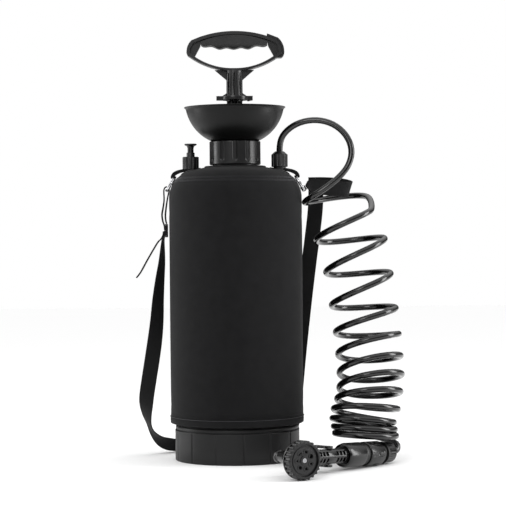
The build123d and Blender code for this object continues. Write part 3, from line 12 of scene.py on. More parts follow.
import bmesh
import bpy
from bmesh.types import BMesh
from bpy.types import ID, Material, Node, NodeSocket, NodeTree, Object
from mathutils import Matrix, Vector


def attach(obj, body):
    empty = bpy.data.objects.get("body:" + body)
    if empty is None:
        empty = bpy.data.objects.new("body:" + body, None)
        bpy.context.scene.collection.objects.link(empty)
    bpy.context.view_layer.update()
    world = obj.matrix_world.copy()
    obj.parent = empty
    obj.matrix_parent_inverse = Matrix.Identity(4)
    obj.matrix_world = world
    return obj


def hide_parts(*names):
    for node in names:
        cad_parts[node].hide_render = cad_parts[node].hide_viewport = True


LOG = logging.getLogger("portable_shower")
MM = 0.001
Point = tuple[float, float, float]
Profile = list[tuple[float, float]]
Outline = tuple[tuple[float, float], ...]


class Facing(Enum):
    """Which side of the shower a paired piece belongs to."""

    LEFT = -1
    RIGHT = 1


# Materials


def linear(hex_colour: str) -> tuple[float, float, float, float]:
    """Turn an sRGB hex colour into Blender's linear colour.

    Args:
        hex_colour: Six hex digits after a hash.

    Returns:
        Red, green, blue and alpha, linear.
    """
    parts = [int(hex_colour[i:i + 2], 16) / 255 for i in (1, 3, 5)]
    values = [c / 12.92 if c <= 0.04045 else ((c + 0.055) / 1.055) ** 2.4 for c in parts]
    return (*values, 1.0)


def add_node(tree: NodeTree, kind: str, settings: dict | None = None,
             links: dict | None = None) -> Node:
    """Add one node, set it up and link its inputs.

    Args:
        tree: The material's node tree.
        kind: The node's type name without its ShaderNode prefix.
        settings: Attributes by name, or input values by socket name.
        links: Output sockets by the name or number of the input that takes them.

    Returns:
        The new node.
    """
    node = tree.nodes.new("ShaderNode" + kind)
    for name, value in (settings or {}).items():
        if name in node.inputs:
            node.inputs[name].default_value = value
        else:
            setattr(node, name, value)
    for name, socket in (links or {}).items():
        tree.links.new(socket, node.inputs[name])
    return node


@dataclass(frozen=True)
class Finish:
    """A surface finish: what the material is and how its surface was made."""

    name: str
    colour: str
    roughness: float = 0.5
    metallic: float = 0.0
    coat: float = 0.0
    sheen: float = 0.0
    specular: float = 0.5

    def shader(self, tree: NodeTree) -> Node:
        """Return the shader with every constant on its own socket."""
        settings = {"Roughness": self.roughness, "Metallic": self.metallic,
                    "Coat Weight": self.coat, "Coat Roughness": 0.12,
                    "Specular IOR Level": self.specular, "Sheen Weight": self.sheen,
                    "Sheen Roughness": 0.45, "Base Color": linear(self.colour)}
        return add_node(tree, "BsdfPrincipled", settings)

    def pattern(self, tree: NodeTree, shader: Node) -> None:
        """Link the finish's colour, roughness and relief to its shader."""

    def make(self) -> Material:
        """Return the material, made once for each finish."""
        known = bpy.data.materials.get(self.name)
        if known:
            return known
        material = bpy.data.materials.new(self.name)
        material.use_nodes = True
        tree = material.node_tree
        tree.nodes.clear()
        shader = self.shader(tree)
        self.pattern(tree, shader)
        add_node(tree, "OutputMaterial", links={"Surface": shader.outputs["BSDF"]})
        material.diffuse_color = linear(self.colour)
        return material


def noise(tree: NodeTree, size_mm: float, detail: float, rough: float = 0.5) -> NodeSocket:
    """Return noise with spots of a size in millimetres, over object coordinates."""
    place = add_node(tree, "TexCoord").outputs["Object"]
    spots = add_node(tree, "TexNoise", {"Scale": 1 / (size_mm * MM), "Detail": detail,
                                        "Roughness": rough}, {"Vector": place})
    return spots.outputs["Fac"]


def bricks(tree: NodeTree, width_mm: float, row_mm: float, gap_mm: float) -> NodeSocket:
    """Return rows of bricks with soft gaps, over the cloth's map in millimetres."""
    cloth = add_node(tree, "UVMap", {"uv_map": "cloth"}).outputs["UV"]
    rows = add_node(tree, "TexBrick", {
        "Scale": 1.0, "Mortar Size": gap_mm, "Mortar Smooth": 1.0, "Brick Width": width_mm,
        "Row Height": row_mm}, {"Vector": cloth})
    return rows.outputs["Fac"]


def spread(tree: NodeTree, source: NodeSocket, low: float, high: float) -> NodeSocket:
    """Spread a pattern's middle range over low to high values."""
    ramp = add_node(tree, "MapRange", {"From Min": 0.3, "From Max": 0.7, "To Min": low,
                                       "To Max": high}, {"Value": source})
    return ramp.outputs["Result"]


def tint(tree: NodeTree, shader: Node, first: str, second: str, share: NodeSocket) -> None:
    """Link a mix of two hex colours to the shader's colour."""
    mix = add_node(tree, "Mix", {"data_type": "RGBA"}, {0: share})
    mix.inputs[6].default_value = linear(first)
    mix.inputs[7].default_value = linear(second)
    tree.links.new(mix.outputs[2], shader.inputs["Base Color"])


def relief(tree: NodeTree, shader: Node, height: NodeSocket, depth_mm: float, strength: float,
           sunk: bool = False) -> None:
    """Link a pattern's relief to the shader's normal."""
    bump = add_node(tree, "Bump", {"Strength": strength, "Distance": depth_mm * MM,
                                   "invert": sunk}, {"Height": height})
    tree.links.new(bump.outputs["Normal"], shader.inputs["Normal"])


@dataclass(frozen=True)
class MouldedPlastic(Finish):
    """Injection or blow moulded plastic: a spark-eroded grain and faint flow marks."""

    flow_mm: float = 38.0
    grain_mm: float = 0.7
    relief_mm: float = 0.02
    dark: str = "#060606"

    def pattern(self, tree: NodeTree, shader: Node) -> None:
        """Link flow marks to colour and gloss, and the mould's grain to relief."""
        flow = noise(tree, self.flow_mm, 3.0)
        tint(tree, shader, self.colour, self.dark, spread(tree, flow, 0.0, 0.45))
        gloss = spread(tree, flow, self.roughness - 0.05, self.roughness + 0.06)
        tree.links.new(gloss, shader.inputs["Roughness"])
        relief(tree, shader, noise(tree, self.grain_mm, 2.0), self.relief_mm, 0.6)


@dataclass(frozen=True)
class KnitNeoprene(Finish):
    """Neoprene foam faced with nylon jersey: matt, with fine knitted ribs."""

    rib_mm: float = 1.3
    mottle_mm: float = 16.0
    relief_mm: float = 0.10
    light: str = "#151516"

    def pattern(self, tree: NodeTree, shader: Node) -> None:
        """Link the knit's ribs and the foam's soft mottling."""
        mottle = noise(tree, self.mottle_mm, 5.0, 0.6)
        tint(tree, shader, self.colour, self.light, spread(tree, mottle, 0.0, 1.0))
        ribs = bricks(tree, self.rib_mm, self.rib_mm * 0.8, 0.22)
        relief(tree, shader, ribs, self.relief_mm, 0.5, sunk=True)


@dataclass(frozen=True)
class WovenWebbing(Finish):
    """Polypropylene webbing: flat tape with a close basket weave."""

    yarn_mm: float = 1.5
    relief_mm: float = 0.28
    light: str = "#0e0e0f"

    def pattern(self, tree: NodeTree, shader: Node) -> None:
        """Link the weave to colour and relief."""
        weave = bricks(tree, self.yarn_mm * 1.6, self.yarn_mm, 0.3)
        tint(tree, shader, self.light, self.colour, weave)
        relief(tree, shader, weave, self.relief_mm, 0.7, sunk=True)


@dataclass(frozen=True)
class PlatedWire(Finish):
    """Bright nickel plating over drawn wire: mirror-like with faint draw lines."""

    line_mm: float = 1.2

    def pattern(self, tree: NodeTree, shader: Node) -> None:
        """Link fine draw lines to the gloss."""
        lines = noise(tree, self.line_mm, 2.0)
        gloss = spread(tree, lines, self.roughness - 0.04, self.roughness + 0.08)
        tree.links.new(gloss, shader.inputs["Roughness"])


# The foot, nuts and pump are moulded in black polypropylene with a fine even grain.
FOOT_PLASTIC = MouldedPlastic("polypropylene_moulded_foot", "#0b0b0c", 0.45, specular=0.35,
                              grain_mm=0.9, relief_mm=0.035)
TANK_PLASTIC = MouldedPlastic("polyethylene_blow_moulded_tank", "#0d0d0e", 0.42)
NUT_PLASTIC = MouldedPlastic("polypropylene_moulded_nut", "#0c0c0d", 0.33)
FUNNEL_PLASTIC = MouldedPlastic("polypropylene_moulded_funnel", "#060606", 0.40, specular=0.22,
                                relief_mm=0.012)
PUMP_PLASTIC = MouldedPlastic("polypropylene_moulded_pump", "#111112", 0.38)
HANDLE_PLASTIC = MouldedPlastic("abs_moulded_handle", "#151516", 0.36, relief_mm=0.018)
GRIP_RUBBER = MouldedPlastic("elastomer_moulded_grip", "#1c1c1d", 0.6, grain_mm=1.1, relief_mm=0.04)
FITTING_PLASTIC = MouldedPlastic("acetal_moulded_fitting", "#111112", 0.36)
NATURAL_PLASTIC = MouldedPlastic("polypropylene_natural_tube", "#c9c8c2", 0.35, dark="#b9b8b0")
SEAL_RUBBER = MouldedPlastic("nitrile_moulded_seal", "#111112", 0.55)
EYELET_PLASTIC = MouldedPlastic("acetal_polished_eyelet", "#101011", 0.16, coat=0.3)
# The hose is extruded PVC: smooth, with a wet-looking gloss.
HOSE_PVC = MouldedPlastic("pvc_extruded_hose", "#050505", 0.16, grain_mm=2.5, relief_mm=0.01,
                          coat=0.2)
GUN_PLASTIC = MouldedPlastic("abs_moulded_gun", "#090909", 0.22, relief_mm=0.015)
GUN_RUBBER = MouldedPlastic("elastomer_moulded_gun_ring", "#080808", 0.42, relief_mm=0.03)
DIAL_PLASTIC = MouldedPlastic("acetal_moulded_dial", "#0d0d0e", 0.34)
NEOPRENE = KnitNeoprene("neoprene_jersey_faced", "#101011", 0.92, sheen=0.05, specular=0.2)
HEM_TAPE = KnitNeoprene("polyester_binding_tape", "#0d0d0e", 0.85, rib_mm=1.0, sheen=0.05,
                        specular=0.2, light="#141415")
WEBBING = WovenWebbing("polypropylene_webbing", "#060607", 0.75, sheen=0.03, specular=0.25)
THREAD = Finish("polyester_sewing_thread", "#303033", 0.55, sheen=0.1)
NICKEL = PlatedWire("nickel_plated_wire", "#d9d9db", 0.14, metallic=1.0)
STEEL = PlatedWire("stainless_spring_wire", "#b4b4b6", 0.26, metallic=1.0)
PAPER = Finish("white_paper_floor", "#fbfbfb", 0.85, specular=0.2)


# Meshes


def metres(point: Sequence[float]) -> Vector:
    """Turn a point in millimetres into Blender's metres."""
    return Vector(point) * MM


def facing_place(origin: Sequence[float], normal: Vector) -> Matrix:
    """Return the placing of a piece modelled along Z that faces sideways.

    Args:
        origin: Where its origin goes, in millimetres.
        normal: Where its Z axis points, level and one long.

    Returns:
        A matrix in metres, which turns the piece's X axis up.
    """
    up = Vector((0.0, 0.0, 1.0))
    turn = Matrix((up, normal.cross(up), normal)).transposed().to_4x4()
    return Matrix.Translation(metres(origin)) @ turn


def add_object(name: str, data: ID) -> Object:
    """Put a new object with the given data in the scene."""
    made = bpy.data.objects.new(name, data)
    bpy.context.scene.collection.objects.link(made)
    return made


def add_cord(name: str, line: Sequence[Point], radius: float, finish: Finish, closed: bool,
             rounding: int) -> Object:
    """Lay a round cord along a line of points.

    Args:
        name: The piece's name.
        line: Its points, in millimetres.
        radius: Its radius, in millimetres.
        finish: Its material.
        closed: Whether it is a closed thread with corners, or else an open smooth hose.
        rounding: How finely its section is rounded.

    Returns:
        The cord's curve object, which rides on the tank.
    """
    data = bpy.data.curves.new(name, "CURVE")
    data.dimensions = "3D"
    data.bevel_depth = radius * MM
    data.bevel_resolution = rounding
    data.use_fill_caps = not closed
    spline = data.splines.new("POLY" if closed else "NURBS")
    spline.points.add(len(line) - 1)
    for point, where in zip(spline.points, line):
        point.co = (*metres(where), 1.0)
    spline.use_cyclic_u = closed
    if not closed:
        spline.order_u = 3
        spline.use_endpoint_u = True
        spline.resolution_u = 4
    data.materials.append(finish.make())
    cord = add_object(name, data)
    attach(cord, "tank")
    LOG.info("laid %s", name)
    return cord


def finish_piece(name: str, mesh: BMesh, body: str, finish: Finish,
                 place: Matrix | None = None, smooth: float = 38.0) -> Object:
    """Turn a bmesh into a finished piece that rides on a body.

    Args:
        name: The piece's name.
        mesh: The bmesh, which is used up.
        body: The CAD body that carries it.
        finish: Its material.
        place: Where to put the mesh, or None if it is in place.
        smooth: Edges sharper than this angle stay sharp.

    Returns:
        The new object.
    """
    if place is not None:
        bmesh.ops.transform(mesh, matrix=place, verts=mesh.verts)
    bmesh.ops.remove_doubles(mesh, verts=mesh.verts, dist=1e-6)
    bmesh.ops.recalc_face_normals(mesh, faces=mesh.faces)
    data = bpy.data.meshes.new(name)
    mesh.to_mesh(data)
    mesh.free()
    piece = add_object(name, data)
    data.materials.append(finish.make())
    data.shade_smooth()
    data.set_sharp_from_angle(angle=radians(smooth))
    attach(piece, body)
    LOG.info("made %s", name)
    return piece


def add_bevel(piece: Object, width: float, angle: float = 35.0) -> None:
    """Round a piece's sharp edges by a width in millimetres."""
    bevel = piece.modifiers.new("edges", "BEVEL")
    bevel.width = width * MM
    bevel.segments = 2
    bevel.limit_method = "ANGLE"
    bevel.angle_limit = radians(angle)


def spun(profile: Profile, steps: int, closed: bool = True) -> BMesh:
    """Spin a (radius, height) profile about Z.

    Args:
        profile: Its points in millimetres, in order.
        steps: How many faces go round.
        closed: Whether the profile's last point joins its first.

    Returns:
        The spun bmesh.
    """
    mesh = bmesh.new()
    verts = [mesh.verts.new((r * MM, 0, z * MM)) for r, z in profile]
    edges = [mesh.edges.new(pair) for pair in zip(verts, verts[1:])]
    if closed:
        edges.append(mesh.edges.new((verts[-1], verts[0])))
    bmesh.ops.spin(mesh, geom=verts + edges, cent=(0, 0, 0), axis=(0, 0, 1),
                   angle=tau, steps=steps, use_merge=True)
    bmesh.ops.remove_doubles(mesh, verts=mesh.verts, dist=2e-6)
    return mesh


def ring(radius: float, wire: tuple[float, float], sides: int, steps: int,
         height: float = 0.0) -> BMesh:
    """Return a ring with an oval section of the given half width and half height."""
    turns = [tau * i / sides for i in range(sides)]
    return spun([(radius + wire[0] * cos(t), height + wire[1] * sin(t)) for t in turns],
                steps)


def merge(mesh: BMesh, other: BMesh) -> None:
    """Move everything in another bmesh into this one."""
    data = bpy.data.meshes.new("merged")
    other.to_mesh(data)
    other.free()
    mesh.from_mesh(data)
    bpy.data.meshes.remove(data)


def arc(centre: tuple[float, float], radius: float, start: float, end: float,
        steps: int) -> Profile:
    """Return points of an arc between two angles in degrees."""
    turns = [radians(start + (end - start) * i / steps) for i in range(steps + 1)]
    return [(centre[0] + radius * cos(t), centre[1] + radius * sin(t)) for t in turns]


def three_point_arc(first: tuple[float, float], mid: tuple[float, float],
                    last: tuple[float, float], steps: int) -> Profile:
    """Return points of the arc through three points."""
    (ax, ay), (bx, by), (cx, cy) = first, mid, last
    d = 2 * (ax * (by - cy) + bx * (cy - ay) + cx * (ay - by))
    a2, b2, c2 = ax * ax + ay * ay, bx * bx + by * by, cx * cx + cy * cy
    ux = (a2 * (by - cy) + b2 * (cy - ay) + c2 * (ay - by)) / d
    uy = (a2 * (cx - bx) + b2 * (ax - cx) + c2 * (bx - ax)) / d
    start, halfway, end = (degrees(atan2(y - uy, x - ux)) for x, y in (first, mid, last))
    sweep = (end - start) % 360
    if (halfway - start) % 360 > sweep:
        sweep -= 360
    return arc((ux, uy), hypot(ax - ux, ay - uy), start, start + sweep, steps)


def cloth_uv(mesh: BMesh, radius: float) -> None:
    """Give a spun cloth its own map in millimetres: round the tank and up it."""
    layer = mesh.loops.layers.uv.new("cloth")
    for face in mesh.faces:
        middle = face.calc_center_median()
        about = atan2(middle.y, middle.x)
        for loop in face.loops:
            turn = atan2(loop.vert.co.y, loop.vert.co.x)
            turn += tau * round((about - turn) / tau)
            loop[layer].uv = (turn * radius, loop.vert.co.z / MM)


def radial_wave(mesh: BMesh, depth: Callable[[float, float, float], float]) -> None:
    """Move each vertex toward the Z axis by a depth in millimetres.

    Args:
        mesh: The spun bmesh.
        depth: Gives the depth from the turn in degrees, radius and height.
    """
    for vert in mesh.verts:
        radius = hypot(vert.co.x, vert.co.y) / MM
        if radius < 0.5:
            continue
        turn = degrees(atan2(vert.co.y, vert.co.x))
        share = 1 - depth(turn, radius, vert.co.z / MM) / radius
        vert.co.x *= share
        vert.co.y *= share


def smooth_line(points: Sequence[Point], per_run: int) -> list[Vector]:
    """Return points of a smooth line through the given ones.

    Args:
        points: At least two points, in millimetres.
        per_run: How many parts each run gets.

    Returns:
        The line's points, in millimetres.
    """
    known = [Vector(p) for p in points]
    known = [known[0] * 2 - known[1]] + known + [known[-1] * 2 - known[-2]]
    line = []
    for i in range(1, len(known) - 2):
        a, b, c, d = known[i - 1:i + 3]
        for k in range(per_run):
            t = k / per_run
            line.append(0.5 * ((b * 2) + (c - a) * t + (a * 2 - b * 5 + c * 4 - d) * t * t
                               + (b * 3 - a - c * 3 + d) * t ** 3))
    return line + [known[-2]]


@dataclass
class Ribbon:
    """A length of flat webbing through stations of centre, width and width direction."""

    name: str
    stations: list[tuple[Point, float, Point]]
    thick: float = 1.5
    per_run: int = 6
    across: int = 6

    def lines(self) -> tuple[list[Vector], list[Vector], list[float]]:
        """Return the middle line, the width directions and the widths."""
        centres = smooth_line([s[0] for s in self.stations], self.per_run)
        sides = smooth_line([s[2] for s in self.stations], self.per_run)
        widths = [w.x for w in smooth_line([(s[1], 0, 0) for s in self.stations], self.per_run)]
        return centres, sides, widths

    def length(self) -> float:
        """Return the length along the middle line in millimetres."""
        centres = self.lines()[0]
        return sum((b - a).length for a, b in zip(centres, centres[1:]))

    def build(self) -> Object:
        """Make the webbing with its thickness and its cloth map."""
        centres, sides, widths = self.lines()
        count = len(centres)
        mesh = bmesh.new()
        bmesh.ops.create_grid(mesh, x_segments=count - 1, y_segments=self.across, size=1.0)
        layer = mesh.loops.layers.uv.new("cloth")
        run = [0.0]
        for a, b in zip(centres, centres[1:]):
            run.append(run[-1] + (b - a).length)
        flat = {}
        for vert in mesh.verts:
            i = round((vert.co.x + 1) / 2 * (count - 1))
            t = vert.co.y
            along = centres[min(i + 1, count - 1)] - centres[max(i - 1, 0)]
            along.normalize()
            side = sides[i] - along * sides[i].dot(along)
            side.normalize()
            flat[vert] = (t * widths[i] / 2, run[i])
            vert.co = metres(centres[i] + side * (t * widths[i] / 2))
        for face in mesh.faces:
            for loop in face.loops:
                loop[layer].uv = flat[loop.vert]
        bmesh.ops.recalc_face_normals(mesh, faces=mesh.faces)
        for vert in mesh.verts:
            vert.normal_update()
        for vert in mesh.verts:
            vert.co = vert.co - vert.normal * (self.thick / 2 * MM)
        bmesh.ops.solidify(mesh, geom=mesh.faces[:], thickness=-self.thick * MM)
        piece = finish_piece(self.name, mesh, "tank", WEBBING, smooth=60.0)
        add_bevel(piece, 0.35, 60.0)
        return piece


def dress(names: Iterable[str], finish: Finish, bevel: float = 0.0) -> None:
    """Give CAD nodes whose shape is right their finish and rounded edges.

    Args:
        names: The nodes.
        finish: Their material.
        bevel: The edges' width in millimetres, or 0 for none.
    """
    for name in names:
        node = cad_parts[name]
        node.data.materials.clear()
        node.data.materials.append(finish.make())
        if bevel:
            weld = node.modifiers.new("weld", "WELD")
            weld.merge_threshold = 2e-6
            add_bevel(node, bevel, 32.0)
        LOG.info("dressed %s", name)


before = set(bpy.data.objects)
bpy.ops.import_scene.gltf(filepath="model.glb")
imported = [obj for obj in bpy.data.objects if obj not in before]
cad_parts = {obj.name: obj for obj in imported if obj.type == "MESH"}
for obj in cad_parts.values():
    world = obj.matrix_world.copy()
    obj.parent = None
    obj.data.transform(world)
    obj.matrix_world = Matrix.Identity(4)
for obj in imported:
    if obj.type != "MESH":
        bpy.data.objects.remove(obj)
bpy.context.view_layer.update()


# Sub-assemblies


@dataclass
class BaseFoot:
    """The grooved foot that the tank stands in."""

    radius: float = 87.1
    wall: float = 3.0
    skirt: float = 43.0
    lip_top: float = 49.0
    grooves: int = 14
    groove_width: float = 1.3
    groove_depth: float = 1.0
    groove_turn: float = -83.7
    deck_low: float = 26.0
    deck_top: float = 30.0
    hub_radius: float = 42.0
    hub_wall: float = 2.4
    ribs: int = 8

    def build(self) -> None:
        """Make the skirt with its grooves, and dress what is under it."""
        r, s, t = self.radius, self.skirt, self.lip_top
        inner = r - self.wall
        profile = [(inner, 0.0), (r - 1.6, 0.0), (r - 0.6, 0.4), (r, 1.4), (r, 20.0), (r, s - 1.6),
                   (r, s - 0.5), (r - 0.5, s), (r - 1.7, s + 0.3), (r - 1.8, s + 1.1),
                   (r - 0.9, s + 1.6), (r - 0.8, s + 2.4), (r - 0.8, t - 1.2), (r - 1.4, t - 0.3),
                   (r - 2.4, t), (inner, t)]
        mesh = spun(profile, self.grooves * 36)
        half = degrees(self.groove_width / 2 / r)

        def groove(turn: float, radius: float, height: float) -> float:
            step = 360.0 / self.grooves
            off = abs((turn - self.groove_turn + step / 2) % step - step / 2)
            if radius < r - 1.2 or height > s - 1.0:
                return 0.0
            return self.groove_depth * max(0.0, min(1.0, (half * 1.9 - off) / (half * 0.9)))

        radial_wave(mesh, groove)
        skirt = finish_piece("foot_skirt", mesh, "tank", FOOT_PLASTIC, smooth=50.0)
        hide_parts("base_foot")
        self.deck(inner)

    def deck(self, inner: float) -> None:
        """Make the deck, hub and ribs that carry the tank inside the skirt."""
        hub, hub_low = self.hub_radius, 3.0
        edge = inner + 0.5
        mesh = spun([(edge, self.deck_low), (hub + self.hub_wall, self.deck_low),
                     (hub + self.hub_wall, hub_low), (hub, hub_low), (hub, self.deck_top),
                     (edge, self.deck_top)], 96)
        step = tau / self.ribs
        size = Matrix.Diagonal((41.0 * MM, self.hub_wall * MM, 23.4 * MM, 1.0))
        for i in range(self.ribs):
            rib = bmesh.ops.create_cube(mesh, size=1.0)["verts"]
            turn = Matrix.Rotation(step * (i + 0.5), 4, "Z")
            place = turn @ Matrix.Translation(metres((64.0, 0, 14.6))) @ size
            bmesh.ops.transform(mesh, matrix=place, verts=rib)
        deck = finish_piece("foot_deck", mesh, "tank", FOOT_PLASTIC)
        add_bevel(deck, 0.5)


@dataclass
class NeopreneCover:
    """The neoprene cover with its hem, neck binding, eyelets and stitching."""

    radius: float = 93.0
    shoulder_z: float = 367.0
    bend: float = 39.25
    bend_centre: float = 53.75
    slope: float = 12.0
    mouth: float = 42.6
    boss_x: float = 62.4
    boss_hole: float = 12.6
    foam: float = 2.6
    bottom: float = 64.3
    hem_bottom: float = 52.0
    zigzag_pitch: float = 2.9
    hem_stitches: int = 420

    def height_at(self, radius: float) -> float:
        """Return the cover's height at a radius on the shoulder."""
        across = radius - self.bend_centre
        flat = self.bend * cos(radians(90 - self.slope))
        if across < flat:
            edge = self.shoulder_z + self.bend * sin(radians(90 - self.slope))
            return edge + (flat - across) * tan(radians(self.slope))
        return self.shoulder_z + sqrt(max(0.0, self.bend ** 2 - across * across))

    def build(self) -> None:
        """Make the cover and everything sewn or set in it."""
        self.sleeve()
        self.hem()
        self.binding()
        self.eyelets()
        self.stitching()

    def outline(self) -> Profile:
        """Return the outer face from the hem up to the mouth."""
        rows = [(self.radius, self.bottom + (self.shoulder_z - self.bottom) * i / 44)
                for i in range(44)]
        rows += arc((self.bend_centre, self.shoulder_z), self.bend, 0, 90 - self.slope, 22)
        bend_end = rows[-1][0]
        slope = [bend_end + (self.mouth - bend_end) * i / 8 for i in range(1, 9)]
        return rows + [(radius, self.height_at(radius)) for radius in slope]

    def sleeve(self) -> None:
        """Make the sleeve, with its soft wrinkles and the holes for the bosses."""
        mesh = spun(self.outline(), 240, closed=False)
        cloth_uv(mesh, self.radius)
        for side in Facing:
            centre = Vector((side.value * self.boss_x * MM, 0, 0))
            gone = [f for f in mesh.faces if f.calc_center_median().z > 0.38
                    and (f.calc_center_median().xy - centre.xy).length < self.boss_hole * MM]
            bmesh.ops.delete(mesh, geom=gone, context="FACES")

        def wrinkle(turn: float, radius: float, height: float) -> float:
            # The shoulder, which carries the seams, stays smooth.
            if height > 380:
                return 0.0
            a = radians(turn)
            slow = sin(2 * a + height / 60) * 0.18 + sin(5 * a - height / 34) * 0.07
            # One crease runs round under the shoulder and one just over the hem.
            upper = 0.42 * exp(-((height - 342 + 5 * sin(3 * a + 1.0)) / 4.5) ** 2)
            lower = 0.3 * exp(-((height - 78 - 2 * sin(4 * a)) / 5.0) ** 2)
            return slow * 0.8 + upper * (0.5 + 0.5 * sin(a * 2 + 2.6)) + lower - 0.1

        radial_wave(mesh, wrinkle)
        sleeve = finish_piece("neoprene_sleeve", mesh, "tank", NEOPRENE, smooth=70.0)
        thick = sleeve.modifiers.new("thickness", "SOLIDIFY")
        thick.thickness = self.foam * MM
        thick.offset = -1.0
        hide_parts("cover_sleeve")

    def hem(self) -> None:
        """Make the folded hem round the bottom."""
        inner, outer, low, top = self.radius - 3.0, self.radius + 0.5, self.hem_bottom, self.bottom
        round_edge = 1.6
        profile = [(inner, low + 1.0), (inner + 1.0, low)]
        profile += arc((outer - round_edge, low + round_edge), round_edge, -90, 0, 5)
        profile += [(outer + 0.15, low + 5.0), (outer, top - 3.6), (outer - 0.9, top - 2.6),
                    (outer - 0.2, top - 1.4), (outer - 0.7, top + 0.2), (inner, top + 0.4)]
        mesh = spun(profile, 200)
        cloth_uv(mesh, self.radius)
        hem = finish_piece("cover_hem_fold", mesh, "tank", NEOPRENE, smooth=60.0)
        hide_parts("cover_hem")

    def binding(self) -> None:
        """Make the bound edge round the mouth."""
        height = self.height_at(self.mouth)
        mesh = ring(self.mouth - 1.7, (2.5, 1.7), 14, 120, height + 0.1)
        cloth_uv(mesh, self.mouth)
        binding = finish_piece("cover_mouth_binding", mesh, "tank", HEM_TAPE)
        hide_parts("cover_binding")

    def eyelets(self) -> None:
        """Make the two glossy rings set in the cover round the bosses."""
        mesh = bmesh.new()
        for side in Facing:
            eyelet = ring(12.9, (1.3, 0.95), 12, 72)
            for vert in eyelet.verts:
                vert.co.x += side.value * self.boss_x * MM
                across = min(hypot(vert.co.x, vert.co.y) / MM, self.radius - 0.6)
                vert.co.z += (self.height_at(across) + 0.35) * MM
            merge(mesh, eyelet)
        rings = finish_piece("cover_eyelet_rings", mesh, "tank", EYELET_PLASTIC)
        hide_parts("cover_eyelets")

    def stitching(self) -> None:
        """Sew the two zigzags round the shoulder and the straight row at the hem."""
        proud = 0.15
        rows = (("shoulder_zigzag", 388.2, 391.4), ("shoulder_zigzag_upper", 392.2, 395.2))
        for name, low, high in rows:
            count = int(tau * self.radius_at((low + high) / 2) / self.zigzag_pitch)
            ends = [(self.radius_at(z) + proud, z) for z in (high, low)]
            self.sew(name, 0.36, count * 2, ends)
        z = self.bottom - 3.0
        self.sew("hem_stitch", 0.32, self.hem_stitches,
                 [(self.radius + proud, z), (self.radius + 0.95, z)])

    def sew(self, name: str, radius: float, count: int, ends: Profile) -> None:
        """Sew a row round the tank whose stitches end at two (radius, height) by turns."""
        line = []
        for i in range(count):
            r, z = ends[i % 2]
            turn = tau * i / count
            line.append((r * cos(turn), r * sin(turn), z))
        add_cord(name, line, radius, THREAD, closed=True, rounding=1)

    def radius_at(self, height: float) -> float:
        """Return the cover's radius at a height on the rounded shoulder."""
        rise = height - self.shoulder_z
        return self.bend_centre + sqrt(max(0.0, self.bend ** 2 - rise * rise))


@dataclass
class NeckAndFunnel:
    """The collar nut and the filling funnel that it holds on the tank's neck."""

    nut_radius: float = 35.9
    nut_low: float = 413.0
    nut_top: float = 445.7
    flutes: int = 12
    flute_depth: float = 1.4
    flute_share: float = 0.36
    band: float = 4.5

    def build(self) -> None:
        """Make the nut and the funnel."""
        self.nut()
        self.funnel()
        dress(["neck_gasket"], SEAL_RUBBER)
        dress(["tank_shell"], TANK_PLASTIC)

    def nut(self) -> None:
        """Make the fluted collar nut."""
        r, low, top = self.nut_radius, self.nut_low, self.nut_top
        rows = [(r, low + 1.0 + (top - low - 2.0) * i / 40) for i in range(41)]
        profile = [(30.6, low), (r - 1.0, low), (r - 0.3, low + 0.3)] + rows
        profile += [(r - 0.3, top - 0.3), (r - 1.0, top), (29.8, top), (29.8, top - 2.9),
                    (30.6, top - 2.9)]
        mesh = spun(profile, self.flutes * 32)
        step = 360.0 / self.flutes
        reach = radians(step * self.flute_share / 2) * r

        def flute(turn: float, radius: float, height: float) -> float:
            if radius < r - 1.2:
                return 0.0
            wide = radians(abs((turn + 90 + step / 2) % step - step / 2)) * r
            # The flute's lower end is round and stops above the plain band.
            below = max(0.0, low + self.band + reach - height)
            return self.flute_depth * max(0.0, min(1.0, (reach - hypot(wide, below)) / 0.9))

        radial_wave(mesh, flute)
        nut = finish_piece("collar_nut_fluted", mesh, "tank", NUT_PLASTIC, smooth=50.0)
        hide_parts("collar_nut")

    def funnel(self) -> None:
        """Make the funnel bowl with its rolled lip."""
        foot, wall = self.nut_top + 0.3, 2.2
        floor = foot + wall + 0.2
        rim, mid = (68.2, foot + 43.0), (56.3, foot + 18.2)
        inner_mid = (mid[0] - wall * 0.8, mid[1] + wall * 0.6)
        inner_rim = (rim[0] - wall, rim[1] + 0.3)
        top = foot + 47.9
        profile = [(24.6, floor), (24.6, 440.4), (30.3, 440.4), (30.3, 442.2), (29.6, 442.6),
                   (29.6, foot)]
        profile += three_point_arc((32.4, foot), mid, rim, 30)
        profile += [(68.9, foot + 45.1), (69.9, foot + 46.2), (70.8, foot + 46.7),
                    (71.2, foot + 47.2), (71.0, foot + 47.8), (70.3, top), (69.2, top - 0.2),
                    (67.8, top - 1.4), (66.6, top - 3.2)]
        profile += three_point_arc(inner_rim, inner_mid, (32.4, floor), 30)
        funnel = finish_piece("funnel_bowl_rolled", spun(profile, 192), "tank", FUNNEL_PLASTIC,
                              smooth=55.0)
        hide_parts("funnel_bowl")


@dataclass
class HandPump:
    """The hand pump that stands in the funnel, with its handle."""

    def build(self) -> None:
        """Dress the pump's pieces."""
        dress(["pump_cap"], PUMP_PLASTIC, 0.5)
        dress(["cap_gasket", "piston_cup", "check_valve"], SEAL_RUBBER)
        dress(["pump_barrel", "piston"], NATURAL_PLASTIC)
        dress(["valve_cage"], PUMP_PLASTIC)
        dress(["pump_rod"], PUMP_PLASTIC, 0.25)
        dress(["pump_handle", "handle_clip"], HANDLE_PLASTIC, 0.9)
        dress(["handle_grip"], GRIP_RUBBER, 0.8)


